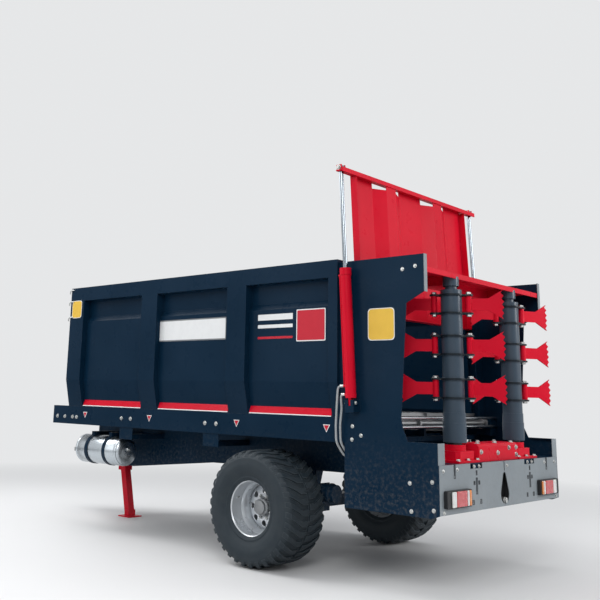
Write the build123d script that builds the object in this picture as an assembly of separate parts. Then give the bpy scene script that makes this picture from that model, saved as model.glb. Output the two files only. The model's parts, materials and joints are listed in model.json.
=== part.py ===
from build123d import *
import os
from math import cos, sin, radians, hypot

os.makedirs("parts", exist_ok=True)

# Trailed manure spreader. Millimetres, +X forward, +Y left, +Z up.
# Sizes are laid out from the axle: X = 0 at the axle, Z = 0 on the ground.
# At the end every piece is shifted along X so that the origin is the middle of the whole.

# Sheet and plate
SKIN = 4.0
SILL_PLATE = 6.0
CHEEK_PLATE = 8.0
DECK_PLATE = 6.0
SEAT = 0.3

# Load body
BODY_FRONT = 2852.0
BODY_REAR = -820.0
WALL_TOP = 2512.0
FLOOR_TOP = 1241.0
COVER_FOOT = 2650.0
RAIL_DEPTH = 146.0
POST_OUT = 1062.0
UPPER_WALL_OUT = 970.0
LOWER_WALL_OUT = 1005.0
LEDGE_TOP = 2192.0
LEDGE_BOTTOM = 2140.0
WALL_BEND = 1515.0
TUCK_OUT = 972.0
TUCK_TOP = 1307.0
POST_WIDTH = 238.0
POST_PITCH = 1208.0
POST_COUNT = 3
REAR_POST_WIDTH = 93.0

# Sill and cross members
SILL_OUT = 1000.0
SILL_DEPTH = 60.0
SILL_TOP = 1235.0
SILL_BOTTOM = 1046.0
SILL_FRONT = 3127.0
CROSS_WIDTH = 80.0
CROSS_DEPTH = 40.0
CROSS_COUNT = 8
CENTRE_BEARER = 30.0
SIDE_BRACKETS = (1870.0, 660.0)
BRACKET_WIDTH = 200.0
BRACKET_DROP = 116.0

# Chassis rails
RAIL_Y = 450.0
RAIL_WIDTH = 100.0
RAIL_FRONT = 2940.0
RAIL_REAR_BELLY = 765.0
RAIL_MID_BELLY = 740.0
RAIL_FRONT_BELLY = 620.0
RAIL_MID_X = 1100.0
RAIL_DEEP_X = 2300.0

# Rear deck
DECK_TOP = 930.0
DECK_REAR = -1700.0
DECK_FRONT = -980.0
SHIELD_BOTTOM = 560.0
SHIELD_TOP = 1085.0
PLATE_BOTTOM = 583.0

# Cheek plates
CHEEK_IN = 1022.0
CHEEK_REAR = -1608.0
CHEEK_TOP = 2490.0
CHEEK_STEP_HIGH = 2200.0
CHEEK_STEP_LOW = 2118.0
CHEEK_WAIST_X = -1450.0
CHEEK_FOOT_X = -1391.0

# Tail lamps
LAMP_Y = (590.0, 972.0)
LAMP_Z = (627.0, 752.0)

# Wheels
TYRE_R = 472.5
TYRE_WIDTH = 500.0
RIM_R = 231.0
RIM_WIDTH = 420.0
RIM_WALL = 9.0
DISC_OUT = 22.0
WHEEL_Y = 960.0
HUB_R = 105.0
NOSE_R = 70.0
AXLE_SIZE = 100.0
SPINDLE_R = 38.0
BRAKE_Y = 630.0
BRAKE_Z = 600.0
RUN_GAP = 0.5

# Top beam
BEAM_TOP = 2396.0
BEAM_DEPTH = 104.0
BEAM_BOTTOM = BEAM_TOP - BEAM_DEPTH
BEAM_PLATE = 8.0
BEAM_LIP = 42.0
BEAM_FRONT = -1345.0
BEAM_REAR = CHEEK_REAR

# Beaters
BEATER_X = -1548.0
BEATER_Y = 510.0
COLUMN_R = 84.0
COLUMN_BOTTOM = 1076.0
COLUMN_TOP = BEAM_TOP - BEAM_DEPTH - 26.0
COLLARS = ((1225.0, 91.0), (1302.0, 88.0))
TOP_JOURNAL_R = 48.0
JOURNAL_R = 34.0
GEARBOX_HEIGHT = 130.0
FLANGE_PLATE = 12.0
FLANGE_GAP = 134.0
LEVELS = (1486.0, 1824.0, 2151.0)
PIN_RADIUS = 135.0
BUSH_R = 24.0
LUG_R = 34.0
PADDLE_REACH = 408.0
PADDLE_PLATE = 10.0
PADDLE_NECK = 96.0
PADDLE_FAN = 232.0
PADDLE_WAIST = 285.0
PADDLE_TEETH = 6
TOOTH_DEPTH = 17.0
LEFT_PHASE = 29.0
RIGHT_PHASE = 62.0

# Gate: sheet, ribs and rods lean forward at the top, about a line at the height of the cheek plates
GATE_LEAN = 3.0
GATE_FRONT = -895.0
GATE_HALF = UPPER_WALL_OUT - 40.0
GATE_BOTTOM = 2070.0
GATE_TOP = 3246.0
RIB_DEPTH = 58.0
RIB_Y = 400.0
RIB_CREST = 150.0
RIB_BASE = 430.0
RIB_NOTCH = 48.0
BAR_PLATE = 8.0
BAR_DROP = 12.0
GUIDE_CLEAR = 6.0

# Lift cylinders
CYL_X = -920.0
CYL_Y = 1092.0
CYL_R = 43.0
CYL_BOTTOM = 1390.0
CYL_TOP = 2420.0
ROD_R = 19.0
PIN_R = 12.0
HOSE_R = 9.0
HOSE_STEP = 24.0
HOSE_BEND = 78.0
HOSE_BLOCK_X = -945.0
HOSE_BLOCK_Z = 905.0
ROD_PIN_Z = GATE_TOP + 30.0

# Drawbar, eye and jack
DRAW_BOTTOM = 620.0
DRAW_DEPTH = 140.0
DRAW_HALF_ROOT = 400.0
DRAW_ARM = 120.0
EYE_X = 3960.0
EYE_R = 60.0
EYE_BORE_R = 25.5
EYE_THICK = 45.0
JACK_X = 3045.0
JACK_Z = 552.0
JACK_TUBE = 80.0
JACK_LEAN = 13.0
FOOT_SIZE = 190.0
FOOT_PLATE = 12.0

# Load floor chains: strand places, loop and slats
STRANDS = (870.0, 300.0)
CHAIN_R = 40.0
CHAIN_THICK = 14.0
CHAIN_WIDTH = 36.0
CHAIN_PITCH = 150.0
END_LINKS = 5
SLAT_DEPTH = 40.0
SLAT_WIDTH = 50.0
SLAT_PITCH = 360.0
SLAT_REACH = (34.0, 905.0)
TAIL_SHAFT_X = -1070.0
FRONT_SHAFT_X = 2720.0
SHAFT_R = 27.0
SHAFT_Z = FLOOR_TOP - CHAIN_R
SHEET_END = CHAIN_R - 5
TOOTH_GAP = 1.2

# Air tank
TANK_R = 146.0
TANK_LENGTH = 740.0
TANK_REAR = 1975.0
TANK_Y = 860.0
TANK_Z = 800.0

# Drive line
DRIVE_Z = 850.0
DRIVE_R = 32.0
BEARING_PLACES = (2700.0, 1600.0, 300.0, -650.0)
REAR_BOX = (-1640.0, -1410.0)
INPUT_R = 17.5


def block(x, y, z):
    """Box between two X, two Y and two Z values."""
    size = (x[1] - x[0], y[1] - y[0], z[1] - z[0])
    middle = ((x[0] + x[1]) / 2, (y[0] + y[1]) / 2, (z[0] + z[1]) / 2)
    return Pos(*middle) * Box(*size)


def slab_xz(points, y_low, y_high):
    """Plate with an outline of (x, z) points between two Y values."""
    plane = Plane(origin=(0, y_low, 0), x_dir=(1, 0, 0), z_dir=(0, -1, 0))
    face = plane * make_face(Polyline(*points, close=True))
    return extrude(face, amount=y_high - y_low, dir=(0, 1, 0))


def slab_yz(points, x_low, x_high):
    """Plate or section with an outline of (y, z) points between two X values."""
    plane = Plane(origin=(x_low, 0, 0), x_dir=(0, 1, 0), z_dir=(1, 0, 0))
    face = plane * make_face(Polyline(*points, close=True))
    return extrude(face, amount=x_high - x_low, dir=(1, 0, 0))


def slab_xy(points, z_low, z_high):
    """Plate with an outline of (x, y) points between two Z values."""
    face = Pos(0, 0, z_low) * make_face(Polyline(*points, close=True))
    return extrude(face, amount=z_high - z_low, dir=(0, 0, 1))


def rod_x(x, y, z, radius):
    return Pos((x[0] + x[1]) / 2, y, z) * Rot(0, 90, 0) * Cylinder(radius, x[1] - x[0])


def rod_y(x, y, z, radius):
    return Pos(x, (y[0] + y[1]) / 2, z) * Rot(90, 0, 0) * Cylinder(radius, y[1] - y[0])


def rod_z(x, y, z, radius):
    return Pos(x, y, (z[0] + z[1]) / 2) * Cylinder(radius, z[1] - z[0])


def other_side(piece):
    """The same piece on the machine's right side."""
    return mirror(piece, about=Plane.XZ)


def leaned(piece):
    """The same piece tipped forward at its top, as the gate and its cylinders stand."""
    return Pos(GATE_FRONT, 0, CHEEK_TOP) * Rot(0, GATE_LEAN, 0) * Pos(-GATE_FRONT, 0, -CHEEK_TOP) * piece


def leaned_point(x, z):
    """Where an upright place (x, z) of the gate ends up once it is leaned."""
    turn = radians(GATE_LEAN)
    dx, dz = x - GATE_FRONT, z - CHEEK_TOP
    return GATE_FRONT + dx * cos(turn) + dz * sin(turn), CHEEK_TOP - dx * sin(turn) + dz * cos(turn)


nodes = {}


def keep(name, *pieces):
    """One node: its pieces fused where they meet."""
    whole = pieces[0]
    for piece in pieces[1:]:
        whole = whole + piece
    nodes[name] = whole


def keep_pair(name, piece):
    """Two nodes, one for each side of the machine."""
    nodes[name + "_left"] = piece
    nodes[name + "_right"] = other_side(piece)


def keep_apart(name, *pieces):
    """One node of several solids that do not meet."""
    nodes[name] = Compound(children=list(pieces))


def keep_both_sides(name, piece):
    keep_apart(name, piece, other_side(piece))


# Wall section as (y, z), outside face from the sill up
WALL_LINE = [
    (SILL_OUT, SILL_TOP),
    (TUCK_OUT, TUCK_TOP),
    (LOWER_WALL_OUT, WALL_BEND),
    (LOWER_WALL_OUT, LEDGE_BOTTOM),
    (UPPER_WALL_OUT, LEDGE_TOP),
    (UPPER_WALL_OUT, WALL_TOP),
]


def inward(line, distance):
    """The wall's inside face: the same line moved in along Y."""
    return [(y - distance, z) for y, z in line]


def post_places():
    """Front and rear X of each post: columns are rear, front."""
    rows = []
    for i in range(POST_COUNT):
        front = BODY_FRONT - i * POST_PITCH
        rows.append((front - POST_WIDTH, front))
    rows.append((BODY_REAR, BODY_REAR + REAR_POST_WIDTH))
    return rows


def make_body():
    skin_in = SKIN * 1.15
    skin = slab_yz(WALL_LINE + inward(WALL_LINE, skin_in)[::-1], BODY_REAR, BODY_FRONT)
    keep_pair("side_panel", skin)

    rail_bottom = WALL_TOP - RAIL_DEPTH
    post_line = WALL_LINE[:5] + [(UPPER_WALL_OUT, rail_bottom), (POST_OUT, rail_bottom), (POST_OUT, WALL_BEND)]
    frame = block((BODY_REAR, BODY_FRONT), (UPPER_WALL_OUT, POST_OUT), (rail_bottom, WALL_TOP))
    for rear, front in post_places():
        frame = frame + slab_yz(post_line, rear, front)
    keep_pair("side_frame", frame)

    # Red strip on the sloping foot of each panel
    strips = []
    places = post_places()
    for ahead, behind in zip(places, places[1:]):
        low, high = behind[1] + 12, ahead[0] - 12
        dy, dz = TUCK_OUT - SILL_OUT, TUCK_TOP - SILL_TOP
        run = hypot(dy, dz)
        n = (dz / run * 3, -dy / run * 3)
        a = (SILL_OUT + dy * 0.12, SILL_TOP + dz * 0.12)
        b = (SILL_OUT + dy * 0.96, SILL_TOP + dz * 0.96)
        outline = [a, b, (b[0] + n[0], b[1] + n[1]), (a[0] + n[0], a[1] + n[1])]
        strips.append(slab_yz(outline, low, high))
    keep_apart("ledge_strips", *strips, *[other_side(strip) for strip in strips])

    inner = UPPER_WALL_OUT - skin_in
    front_line = [(y - skin_in, z) for y, z in WALL_LINE]
    outline = front_line + [(-y, z) for y, z in front_line[::-1]]
    front = slab_yz(outline, BODY_FRONT - SKIN, BODY_FRONT)
    top_rail = block((BODY_FRONT, BODY_FRONT + 60), (-inner, inner), (WALL_TOP - 90, WALL_TOP))
    front = front + top_rail
    for y in (-500, 0, 500):
        front = front + block((BODY_FRONT, BODY_FRONT + 60), (y - 40, y + 40), (SILL_TOP, WALL_TOP - 90))
    cover = [(BODY_FRONT - SKIN, 1400), (COVER_FOOT, FLOOR_TOP + 60), (COVER_FOOT, FLOOR_TOP + 54), (BODY_FRONT - SKIN, 1393)]
    front = front + slab_xz(cover, -GATE_HALF, GATE_HALF)
    keep("front_wall", front)

    floor_half = TUCK_OUT - skin_in - 6
    tail_half = GATE_HALF - 50
    sheet = (SILL_TOP, FLOOR_TOP)
    floor = block((BODY_REAR, FRONT_SHAFT_X - SHEET_END), (-floor_half, floor_half), sheet)
    floor = floor + block((TAIL_SHAFT_X + SHEET_END, BODY_REAR), (-tail_half, tail_half), sheet)
    keep("load_floor", floor)


def make_sills():
    outer, deep = SILL_OUT, SILL_OUT - SILL_DEPTH
    t = SILL_PLATE
    line = [(deep, SILL_BOTTOM), (outer, SILL_BOTTOM), (outer, SILL_TOP), (deep, SILL_TOP),
            (deep, SILL_TOP - t), (outer - t, SILL_TOP - t), (outer - t, SILL_BOTTOM + t), (deep, SILL_BOTTOM + t)]
    keep_both_sides("sills", slab_yz(line, BODY_REAR, SILL_FRONT))


def rail_outline():
    return [
        (DECK_REAR + DECK_PLATE, RAIL_REAR_BELLY),
        (RAIL_MID_X - 1500, RAIL_REAR_BELLY),
        (RAIL_MID_X, RAIL_MID_BELLY),
        (RAIL_DEEP_X, RAIL_FRONT_BELLY),
        (RAIL_FRONT, RAIL_FRONT_BELLY),
        (RAIL_FRONT, SILL_BOTTOM),
        (DECK_FRONT, SILL_BOTTOM),
        (DECK_FRONT, DECK_TOP - DECK_PLATE),
        (DECK_REAR + DECK_PLATE, DECK_TOP - DECK_PLATE),
    ]


def make_chassis():
    half = RAIL_WIDTH / 2
    keep_both_sides("chassis_rails", slab_xz(rail_outline(), RAIL_Y - half, RAIL_Y + half))

    # Flat cross members on the rails, with the floor's centre bearer on top of them
    inside = SILL_OUT - SILL_DEPTH
    low = (SILL_BOTTOM, SILL_BOTTOM + CROSS_DEPTH)
    first, last = BODY_REAR + 260, SILL_FRONT - 200
    step = (last - first) / (CROSS_COUNT - 1)
    ladder = block((DECK_FRONT, DECK_FRONT + CROSS_WIDTH), (-CHEEK_IN, CHEEK_IN), low)
    for i in range(CROSS_COUNT):
        x = first + i * step
        ladder = ladder + block((x - CROSS_WIDTH / 2, x + CROSS_WIDTH / 2), (-inside, inside), low)
    bearer = CENTRE_BEARER / 2
    ladder = ladder + block((DECK_FRONT, FRONT_SHAFT_X - 60), (-bearer, bearer), (low[1], SILL_TOP))

    # Shaft bearers on both sides of the tail, and hangers for the drive shaft
    parts = [ladder]
    reach = SLAT_REACH[1] + 15
    tail = block((TAIL_SHAFT_X - 60, BODY_REAR), (reach, CHEEK_IN), (low[1], SILL_TOP))
    tail = tail - rod_y(TAIL_SHAFT_X, (reach - 1, CHEEK_IN + 1), SHAFT_Z, SHAFT_R + SEAT)
    parts += [tail, other_side(tail)]
    gap = RAIL_Y - half
    for x in BEARING_PLACES:
        tie = block((x - 40, x + 40), (-gap, gap), (DRIVE_Z + 50, DRIVE_Z + 150))
        hanger = block((x - 25, x + 25), (-60, 60), (DRIVE_Z - 60, DRIVE_Z + 50))
        bore = rod_x((x - 60, x + 60), 0, DRIVE_Z, DRIVE_R + RUN_GAP)
        parts.append(tie + hanger - bore)
    keep_apart("cross_members", *parts)

    # Brackets under the sills, with an arm back to the rail
    brackets = []
    for x in SIDE_BRACKETS:
        ends = (x - BRACKET_WIDTH / 2, x + BRACKET_WIDTH / 2)
        foot = SILL_BOTTOM - BRACKET_DROP
        plate = block(ends, (SILL_OUT - 16, SILL_OUT - 8), (foot, SILL_BOTTOM))
        arm = block((x - 35, x + 35), (RAIL_Y + half, SILL_OUT - 8), (foot, foot + 50))
        brackets += [plate + arm, other_side(plate + arm)]
    keep_apart("sill_brackets", *brackets)


def make_deck():
    t = DECK_PLATE
    keep("rear_deck", block((DECK_REAR + t, DECK_FRONT), (-CHEEK_IN, CHEEK_IN), (DECK_TOP - t, DECK_TOP)))

    # Cut-outs of the rear plate: (y, z, width, height), both sides alike
    slots = [
        (800.0, 895.0, 15.0, 90.0),
        (465.0, 912.0, 190.0, 44.0),
        (465.0, 762.0, 15.0, 110.0),
        (427.0, 785.0, 16.0, 20.0),
        (503.0, 785.0, 16.0, 20.0),
        (465.0, 858.0, 12.0, 26.0),
        (405.0, 645.0, 16.0, 22.0),
        (525.0, 645.0, 16.0, 22.0),
        (0.0, 892.0, 15.0, 76.0),
    ]
    plate = block((DECK_REAR, DECK_REAR + t), (-CHEEK_IN, CHEEK_IN), (PLATE_BOTTOM, DECK_TOP))
    for y, z, width, height in slots:
        for side in (-1, 1):
            middle = side * y
            cut = block((DECK_REAR - 5, DECK_REAR + t + 5), (middle - width / 2, middle + width / 2),
                        (z - height / 2, z + height / 2))
            plate = plate - cut
            if y == 0:
                break
    low, high = (675.0, 74.0), (818.0, 26.0)
    rise = high[0] - low[0]
    lean = (low[1] - high[1]) / rise
    level = (1 - lean * lean) ** 0.5
    sides = [(low[1] * level, low[0] + low[1] * lean), (high[1] * level, high[0] + high[1] * lean)]
    drop = slab_yz(sides + [(-y, z) for y, z in sides[::-1]], DECK_REAR - 5, DECK_REAR + t + 5)
    for z, radius in (low, high):
        drop = drop + rod_x((DECK_REAR - 5, DECK_REAR + t + 5), 0, z, radius)
    keep("rear_plate", plate - drop)


def make_cheeks():
    outline = [
        (BODY_REAR, CHEEK_TOP),
        (CHEEK_REAR, CHEEK_TOP),
        (CHEEK_REAR, CHEEK_STEP_HIGH),
        (CHEEK_WAIST_X, CHEEK_STEP_LOW),
        (CHEEK_FOOT_X, 1254),
        (CHEEK_FOOT_X - 13, 1178),
        (CHEEK_FOOT_X - 55, SHIELD_TOP),
        (DECK_REAR, SHIELD_TOP),
        (DECK_REAR, PLATE_BOTTOM),
        (DECK_REAR + 60, SHIELD_BOTTOM),
        (BODY_REAR - 50, SHIELD_BOTTOM),
        (BODY_REAR - 50, SILL_BOTTOM),
        (BODY_REAR, SILL_BOTTOM),
    ]
    plate = slab_xz(outline, CHEEK_IN, CHEEK_IN + CHEEK_PLATE)
    # Folded edges: beside the top beam, and beside the rear plate
    face = CHEEK_IN + CHEEK_PLATE
    plate = plate + block((CHEEK_REAR - 6, CHEEK_REAR), (CHEEK_IN - 34, face), (CHEEK_STEP_HIGH, CHEEK_TOP))
    plate = plate + block((DECK_REAR, DECK_REAR + 6), (CHEEK_IN - 82, face), (DECK_TOP, SHIELD_TOP))
    plate = plate + block((DECK_REAR + 6, DECK_REAR + 240), (CHEEK_IN - 30, face), (SHIELD_TOP - 6, SHIELD_TOP))

    # Foot of the lift cylinder: a lug on each side of its eye
    base = CHEEK_IN + CHEEK_PLATE
    low = CYL_BOTTOM - 90
    foot = block((CYL_X - 40, CYL_X + 40), (base, CYL_Y + 30), (low - 20, CYL_BOTTOM - 60 - SEAT))
    for x in (CYL_X - 40, CYL_X + 12 + SEAT):
        foot = foot + block((x, x + 28 - SEAT), (base, CYL_Y + 30), (low, CYL_BOTTOM - 15))
    foot = foot - rod_x((CYL_X - 50, CYL_X + 50), CYL_Y, CYL_BOTTOM - 38, PIN_R + SEAT)
    plate = plate + leaned(foot)
    keep_pair("cheek_plate", plate)


def make_guides():
    """Side guides of the gate: a filled column behind the wall, with a lip on each side of the sheet."""
    t = SILL_PLATE
    rear = GATE_FRONT - t - RIB_DEPTH - GUIDE_CLEAR
    front = GATE_FRONT + GUIDE_CLEAR
    web = GATE_HALF + GUIDE_CLEAR
    reach = GATE_HALF - 36
    lip_top = CHEEK_TOP - 8
    lips = block((front, front + 3), (reach, web), (SILL_TOP, lip_top))
    lips = lips + block((rear - t, rear), (reach, web), (SILL_TOP, lip_top))
    high = leaned_point(rear - t, CHEEK_TOP)[0]
    low = leaned_point(rear - t, SILL_TOP)[0]
    outline = [(BODY_REAR, SILL_TOP), (BODY_REAR, CHEEK_TOP), (high, CHEEK_TOP), (low, SILL_TOP)]
    keep_both_sides("gate_guides", slab_xz(outline, web, CHEEK_IN) + leaned(lips))


def make_gate():
    t = SILL_PLATE
    rear = GATE_FRONT - t - RIB_DEPTH

    # Folded sheet seen from above as (x, y): flat, then two hats that stand out to the rear
    crest, base = RIB_CREST / 2, RIB_BASE / 2
    line = [(0, -GATE_HALF)]
    for middle in (-RIB_Y, RIB_Y):
        line += [(0, middle - base), (-RIB_DEPTH, middle - crest), (-RIB_DEPTH, middle + crest), (0, middle + base)]
    line.append((0, GATE_HALF))
    front_line = [(GATE_FRONT + x, y) for x, y in line]
    rear_line = [(x - t, y) for x, y in front_line]
    panel = slab_xy(front_line + rear_line[::-1], GATE_BOTTOM, GATE_TOP)
    for middle in (-RIB_Y, RIB_Y):
        for low, high in ((middle - base, middle - crest), (middle + crest, middle + base)):
            panel = panel - block((rear - 1, GATE_FRONT + 1), (low, high), (GATE_TOP - RIB_NOTCH, GATE_TOP + 1))
    for side in (-1, 1):
        low, high = sorted((side * GATE_HALF, side * (GATE_HALF - t)))
        panel = panel + block((rear, GATE_FRONT), (low, high), (GATE_BOTTOM, GATE_TOP - 6))
    panel = panel + block((rear, GATE_FRONT), (-GATE_HALF, GATE_HALF), (GATE_BOTTOM, GATE_BOTTOM + 8))
    keep("gate_panel", leaned(panel))

    # Angle bar on top, out to the rod eyes
    reach = CYL_Y + 40
    bar = block((rear, GATE_FRONT), (-reach, reach), (GATE_TOP, GATE_TOP + BAR_PLATE))
    bar = bar + block((rear - BAR_PLATE, rear), (-reach, reach), (GATE_TOP - BAR_DROP, GATE_TOP + 26))
    rods = []
    for side in (-1, 1):
        y = side * CYL_Y
        for near in (-30, 20):
            ear = block((CYL_X - 25, CYL_X + 25), (y + near, y + near + 10), (GATE_TOP + BAR_PLATE, ROD_PIN_Z + 25))
            bar = bar + ear
        bar = bar - rod_y(CYL_X, (y - 40, y + 40), ROD_PIN_Z, PIN_R + SEAT)
        bar = bar - rod_z(CYL_X, y, (GATE_TOP - 5, GATE_TOP + 15), ROD_R + SEAT)
        rod = rod_z(CYL_X, y, (CYL_TOP - 90, ROD_PIN_Z), ROD_R)
        rod = rod - block((CYL_X - 40, CYL_X + 40), (y - 40, y + 40), (ROD_PIN_Z - 15, ROD_PIN_Z + 5))
        eye = block((CYL_X - 22, CYL_X + 22), (y - 19, y + 19), (ROD_PIN_Z - 15, ROD_PIN_Z + 20))
        rods.append(rod + eye + rod_y(CYL_X, (y - 34, y + 34), ROD_PIN_Z, PIN_R))
    keep("gate_top_bar", leaned(bar))
    keep_apart("gate_rods", *[leaned(rod) for rod in rods])


def make_cylinders():
    barrel = rod_z(CYL_X, CYL_Y, (CYL_BOTTOM, CYL_TOP), CYL_R)
    barrel = barrel - rod_z(CYL_X, CYL_Y, (CYL_BOTTOM + 40, CYL_TOP + 1), ROD_R + RUN_GAP)
    eye = block((CYL_X - 12, CYL_X + 12), (CYL_Y - 20, CYL_Y + 20), (CYL_BOTTOM - 60, CYL_BOTTOM))
    pin = rod_x((CYL_X - 44, CYL_X + 44), CYL_Y, CYL_BOTTOM - 38, PIN_R)

    # Pipe along the front of the barrel, from its head down to the lower port
    pipe_x = CYL_X + CYL_R + 14
    pipe = rod_z(pipe_x, CYL_Y, (CYL_BOTTOM + 92, CYL_TOP - 50), 7)
    pipe = pipe + rod_x((CYL_X + CYL_R - 8, pipe_x + 9), CYL_Y, CYL_TOP - 50, 9)
    pipe = pipe + rod_x((CYL_X + CYL_R - 8, pipe_x + 9), CYL_Y, CYL_BOTTOM + 95, 11)
    pipe = pipe + rod_x((CYL_X + CYL_R - 8, pipe_x), CYL_Y, CYL_BOTTOM + 28, 11)
    keep_both_sides("lift_cylinders", leaned(barrel + eye + pin + pipe))

    # Two hoses from the ports, down the outside of the sill and in behind the shield
    hoses = []
    for port_z, start_x, out in ((CYL_BOTTOM + 95, pipe_x + 9, 0.0), (CYL_BOTTOM + 28, pipe_x, HOSE_STEP)):
        start = leaned_point(start_x, port_z)
        bend = leaned_point(CYL_X + CYL_R + HOSE_BEND - out, port_z)
        lane = CYL_Y + 8 - out
        fall = BODY_REAR - HOSE_R - out
        route = [(start[0], CYL_Y, start[1]), (bend[0], CYL_Y, bend[1]), (bend[0] + 3, lane, port_z - 110),
                 (fall - 3, lane - 6, 1190), (fall, lane - 16, 1050), (fall - 2, 990 - out, 950),
                 (HOSE_BLOCK_X, 984 - out, HOSE_BLOCK_Z)]
        path = FilletPolyline(*route, radius=[26, 60, 120, 90, 60])
        ring = Plane(path @ 0, z_dir=path % 0) * RegularPolygon(HOSE_R, 8)
        hoses.append(sweep(ring, path=path))
    block_piece = block((HOSE_BLOCK_X - 34, HOSE_BLOCK_X), (950, CHEEK_IN), (HOSE_BLOCK_Z - 22, HOSE_BLOCK_Z + 22))
    side = hoses[0] + hoses[1]
    keep_both_sides("cylinder_hoses", side + block_piece)


def make_top_beam():
    t = BEAM_PLATE
    half = CHEEK_IN
    top = block((BEAM_REAR, BEAM_FRONT), (-half, half), (BEAM_TOP - t, BEAM_TOP))
    web = block((BEAM_FRONT - t, BEAM_FRONT), (-half, half), (BEAM_BOTTOM, BEAM_TOP))
    lip = block((BEAM_REAR, BEAM_REAR + t), (-half, half), (BEAM_TOP - BEAM_LIP, BEAM_TOP))
    beam = top + web + lip
    for side in (-1, 1):
        y = side * BEATER_Y
        house = rod_z(BEATER_X, y, (BEAM_BOTTOM + 14, BEAM_TOP - t), TOP_JOURNAL_R + 12)
        house = house - rod_z(BEATER_X, y, (BEAM_BOTTOM, BEAM_TOP - 40), TOP_JOURNAL_R + RUN_GAP)
        stay = block((BEATER_X + TOP_JOURNAL_R + 10, BEAM_FRONT - t), (y - 6, y + 6), (BEAM_BOTTOM + 20, BEAM_TOP - t))
        beam = beam + house + stay
    keep("top_beam", beam)


def paddle():
    """Flat plate on a bush, along +X from the pin: a neck that flares to a toothed fan."""
    neck, fan = PADDLE_NECK / 2, PADDLE_FAN / 2
    root = PIN_RADIUS + BUSH_R - 4
    tips = []
    for i in range(PADDLE_TEETH):
        share = i / (PADDLE_TEETH - 1) * 2 - 1
        crown = 8 * (1 - share * share)
        tips.append((PADDLE_REACH - 8 + crown, -fan * share))
        if i < PADDLE_TEETH - 1:
            middle = share + 1 / (PADDLE_TEETH - 1)
            tips.append((PADDLE_REACH - 8 + crown - TOOTH_DEPTH, -fan * middle))
    outline = [(root, -neck), (PADDLE_WAIST, -neck)] + [(x, z) for x, z in tips[::-1]] + [(PADDLE_WAIST, neck), (root, neck)]
    plate = slab_xz(outline, -PADDLE_PLATE / 2, PADDLE_PLATE / 2)
    bush = rod_z(PIN_RADIUS, 0, (-FLANGE_GAP / 2 + SEAT, FLANGE_GAP / 2 - SEAT), BUSH_R)
    return plate + bush


def flange():
    """Round plate with two opposite lugs for the paddle pins."""
    disc = Cylinder(COLUMN_R + 16, FLANGE_PLATE)
    for side in (-1, 1):
        lug = Pos(side * PIN_RADIUS, 0, 0) * Cylinder(LUG_R, FLANGE_PLATE)
        neck = Pos(side * PIN_RADIUS / 2, 0, 0) * Box(PIN_RADIUS, 2 * LUG_R, FLANGE_PLATE)
        disc = disc + lug + neck
    return disc


def make_beaters():
    plate = flange()
    blade = paddle()
    for name, side, phase in (("left", 1, LEFT_PHASE), ("right", -1, RIGHT_PHASE)):
        y = side * BEATER_Y
        column = rod_z(BEATER_X, y, (COLUMN_BOTTOM, COLUMN_TOP), COLUMN_R)
        column = column + rod_z(BEATER_X, y, (COLUMN_TOP, BEAM_TOP - 45), TOP_JOURNAL_R)
        for top, radius in COLLARS:
            column = column + rod_z(BEATER_X, y, (COLUMN_BOTTOM, top), radius)
        column = column + rod_z(BEATER_X, y, (DECK_TOP + GEARBOX_HEIGHT - 30 + SEAT, COLUMN_BOTTOM), JOURNAL_R)
        blades = []
        for z in LEVELS:
            for end in (-1, 1):
                offset = end * (FLANGE_GAP + FLANGE_PLATE) / 2
                column = column + Pos(BEATER_X, y, z + offset) * Rot(0, 0, phase) * plate
            for turn in (0, 180):
                blades.append(Pos(BEATER_X, y, z) * Rot(0, 0, phase + turn) * blade)
        nodes["beater_column_" + name] = column
        keep_apart("beater_paddles_" + name, *blades)


def make_gearboxes():
    """Two cast gearboxes on the deck, the housing between them and the box under the deck."""
    top = DECK_TOP + GEARBOX_HEIGHT
    foot = block((BEATER_X - 125, BEATER_X + 125), (BEATER_Y - 170, BEATER_Y + 170), (DECK_TOP, DECK_TOP + 18))
    body = block((BEATER_X - 95, BEATER_X + 95), (BEATER_Y - 150, BEATER_Y + 120), (DECK_TOP + 18, DECK_TOP + 84))
    body = chamfer(body.edges().filter_by(Axis.Z), 28)
    cap = rod_z(BEATER_X, BEATER_Y, (DECK_TOP + 84, top), 82)
    box = foot + body + cap
    box = box - rod_z(BEATER_X, BEATER_Y, (top - 30, top + 1), JOURNAL_R + RUN_GAP)
    keep_both_sides("beater_gearboxes", box)
    reach = BEATER_Y - 170
    centre = block((BEATER_X - 112, BEATER_X + 112), (-reach, reach), (DECK_TOP, top + 6))
    centre = chamfer(centre.edges().filter_by(Axis.Y).group_by(Axis.Z)[-1], 22)
    keep("drive_housing", centre)
    under = block(REAR_BOX, (-130, 130), (DRIVE_Z - 80, DECK_TOP - DECK_PLATE))
    under = chamfer(under.edges().filter_by(Axis.X), 24)
    keep("rear_gearbox", under)


def make_lamps():
    lamp = block((DECK_REAR - 42, DECK_REAR), (LAMP_Y[0], LAMP_Y[1]), (LAMP_Z[0], LAMP_Z[1]))
    lamp = chamfer(lamp.edges().group_by(Axis.X)[0], 8)
    keep_both_sides("tail_lamps", lamp)


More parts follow.
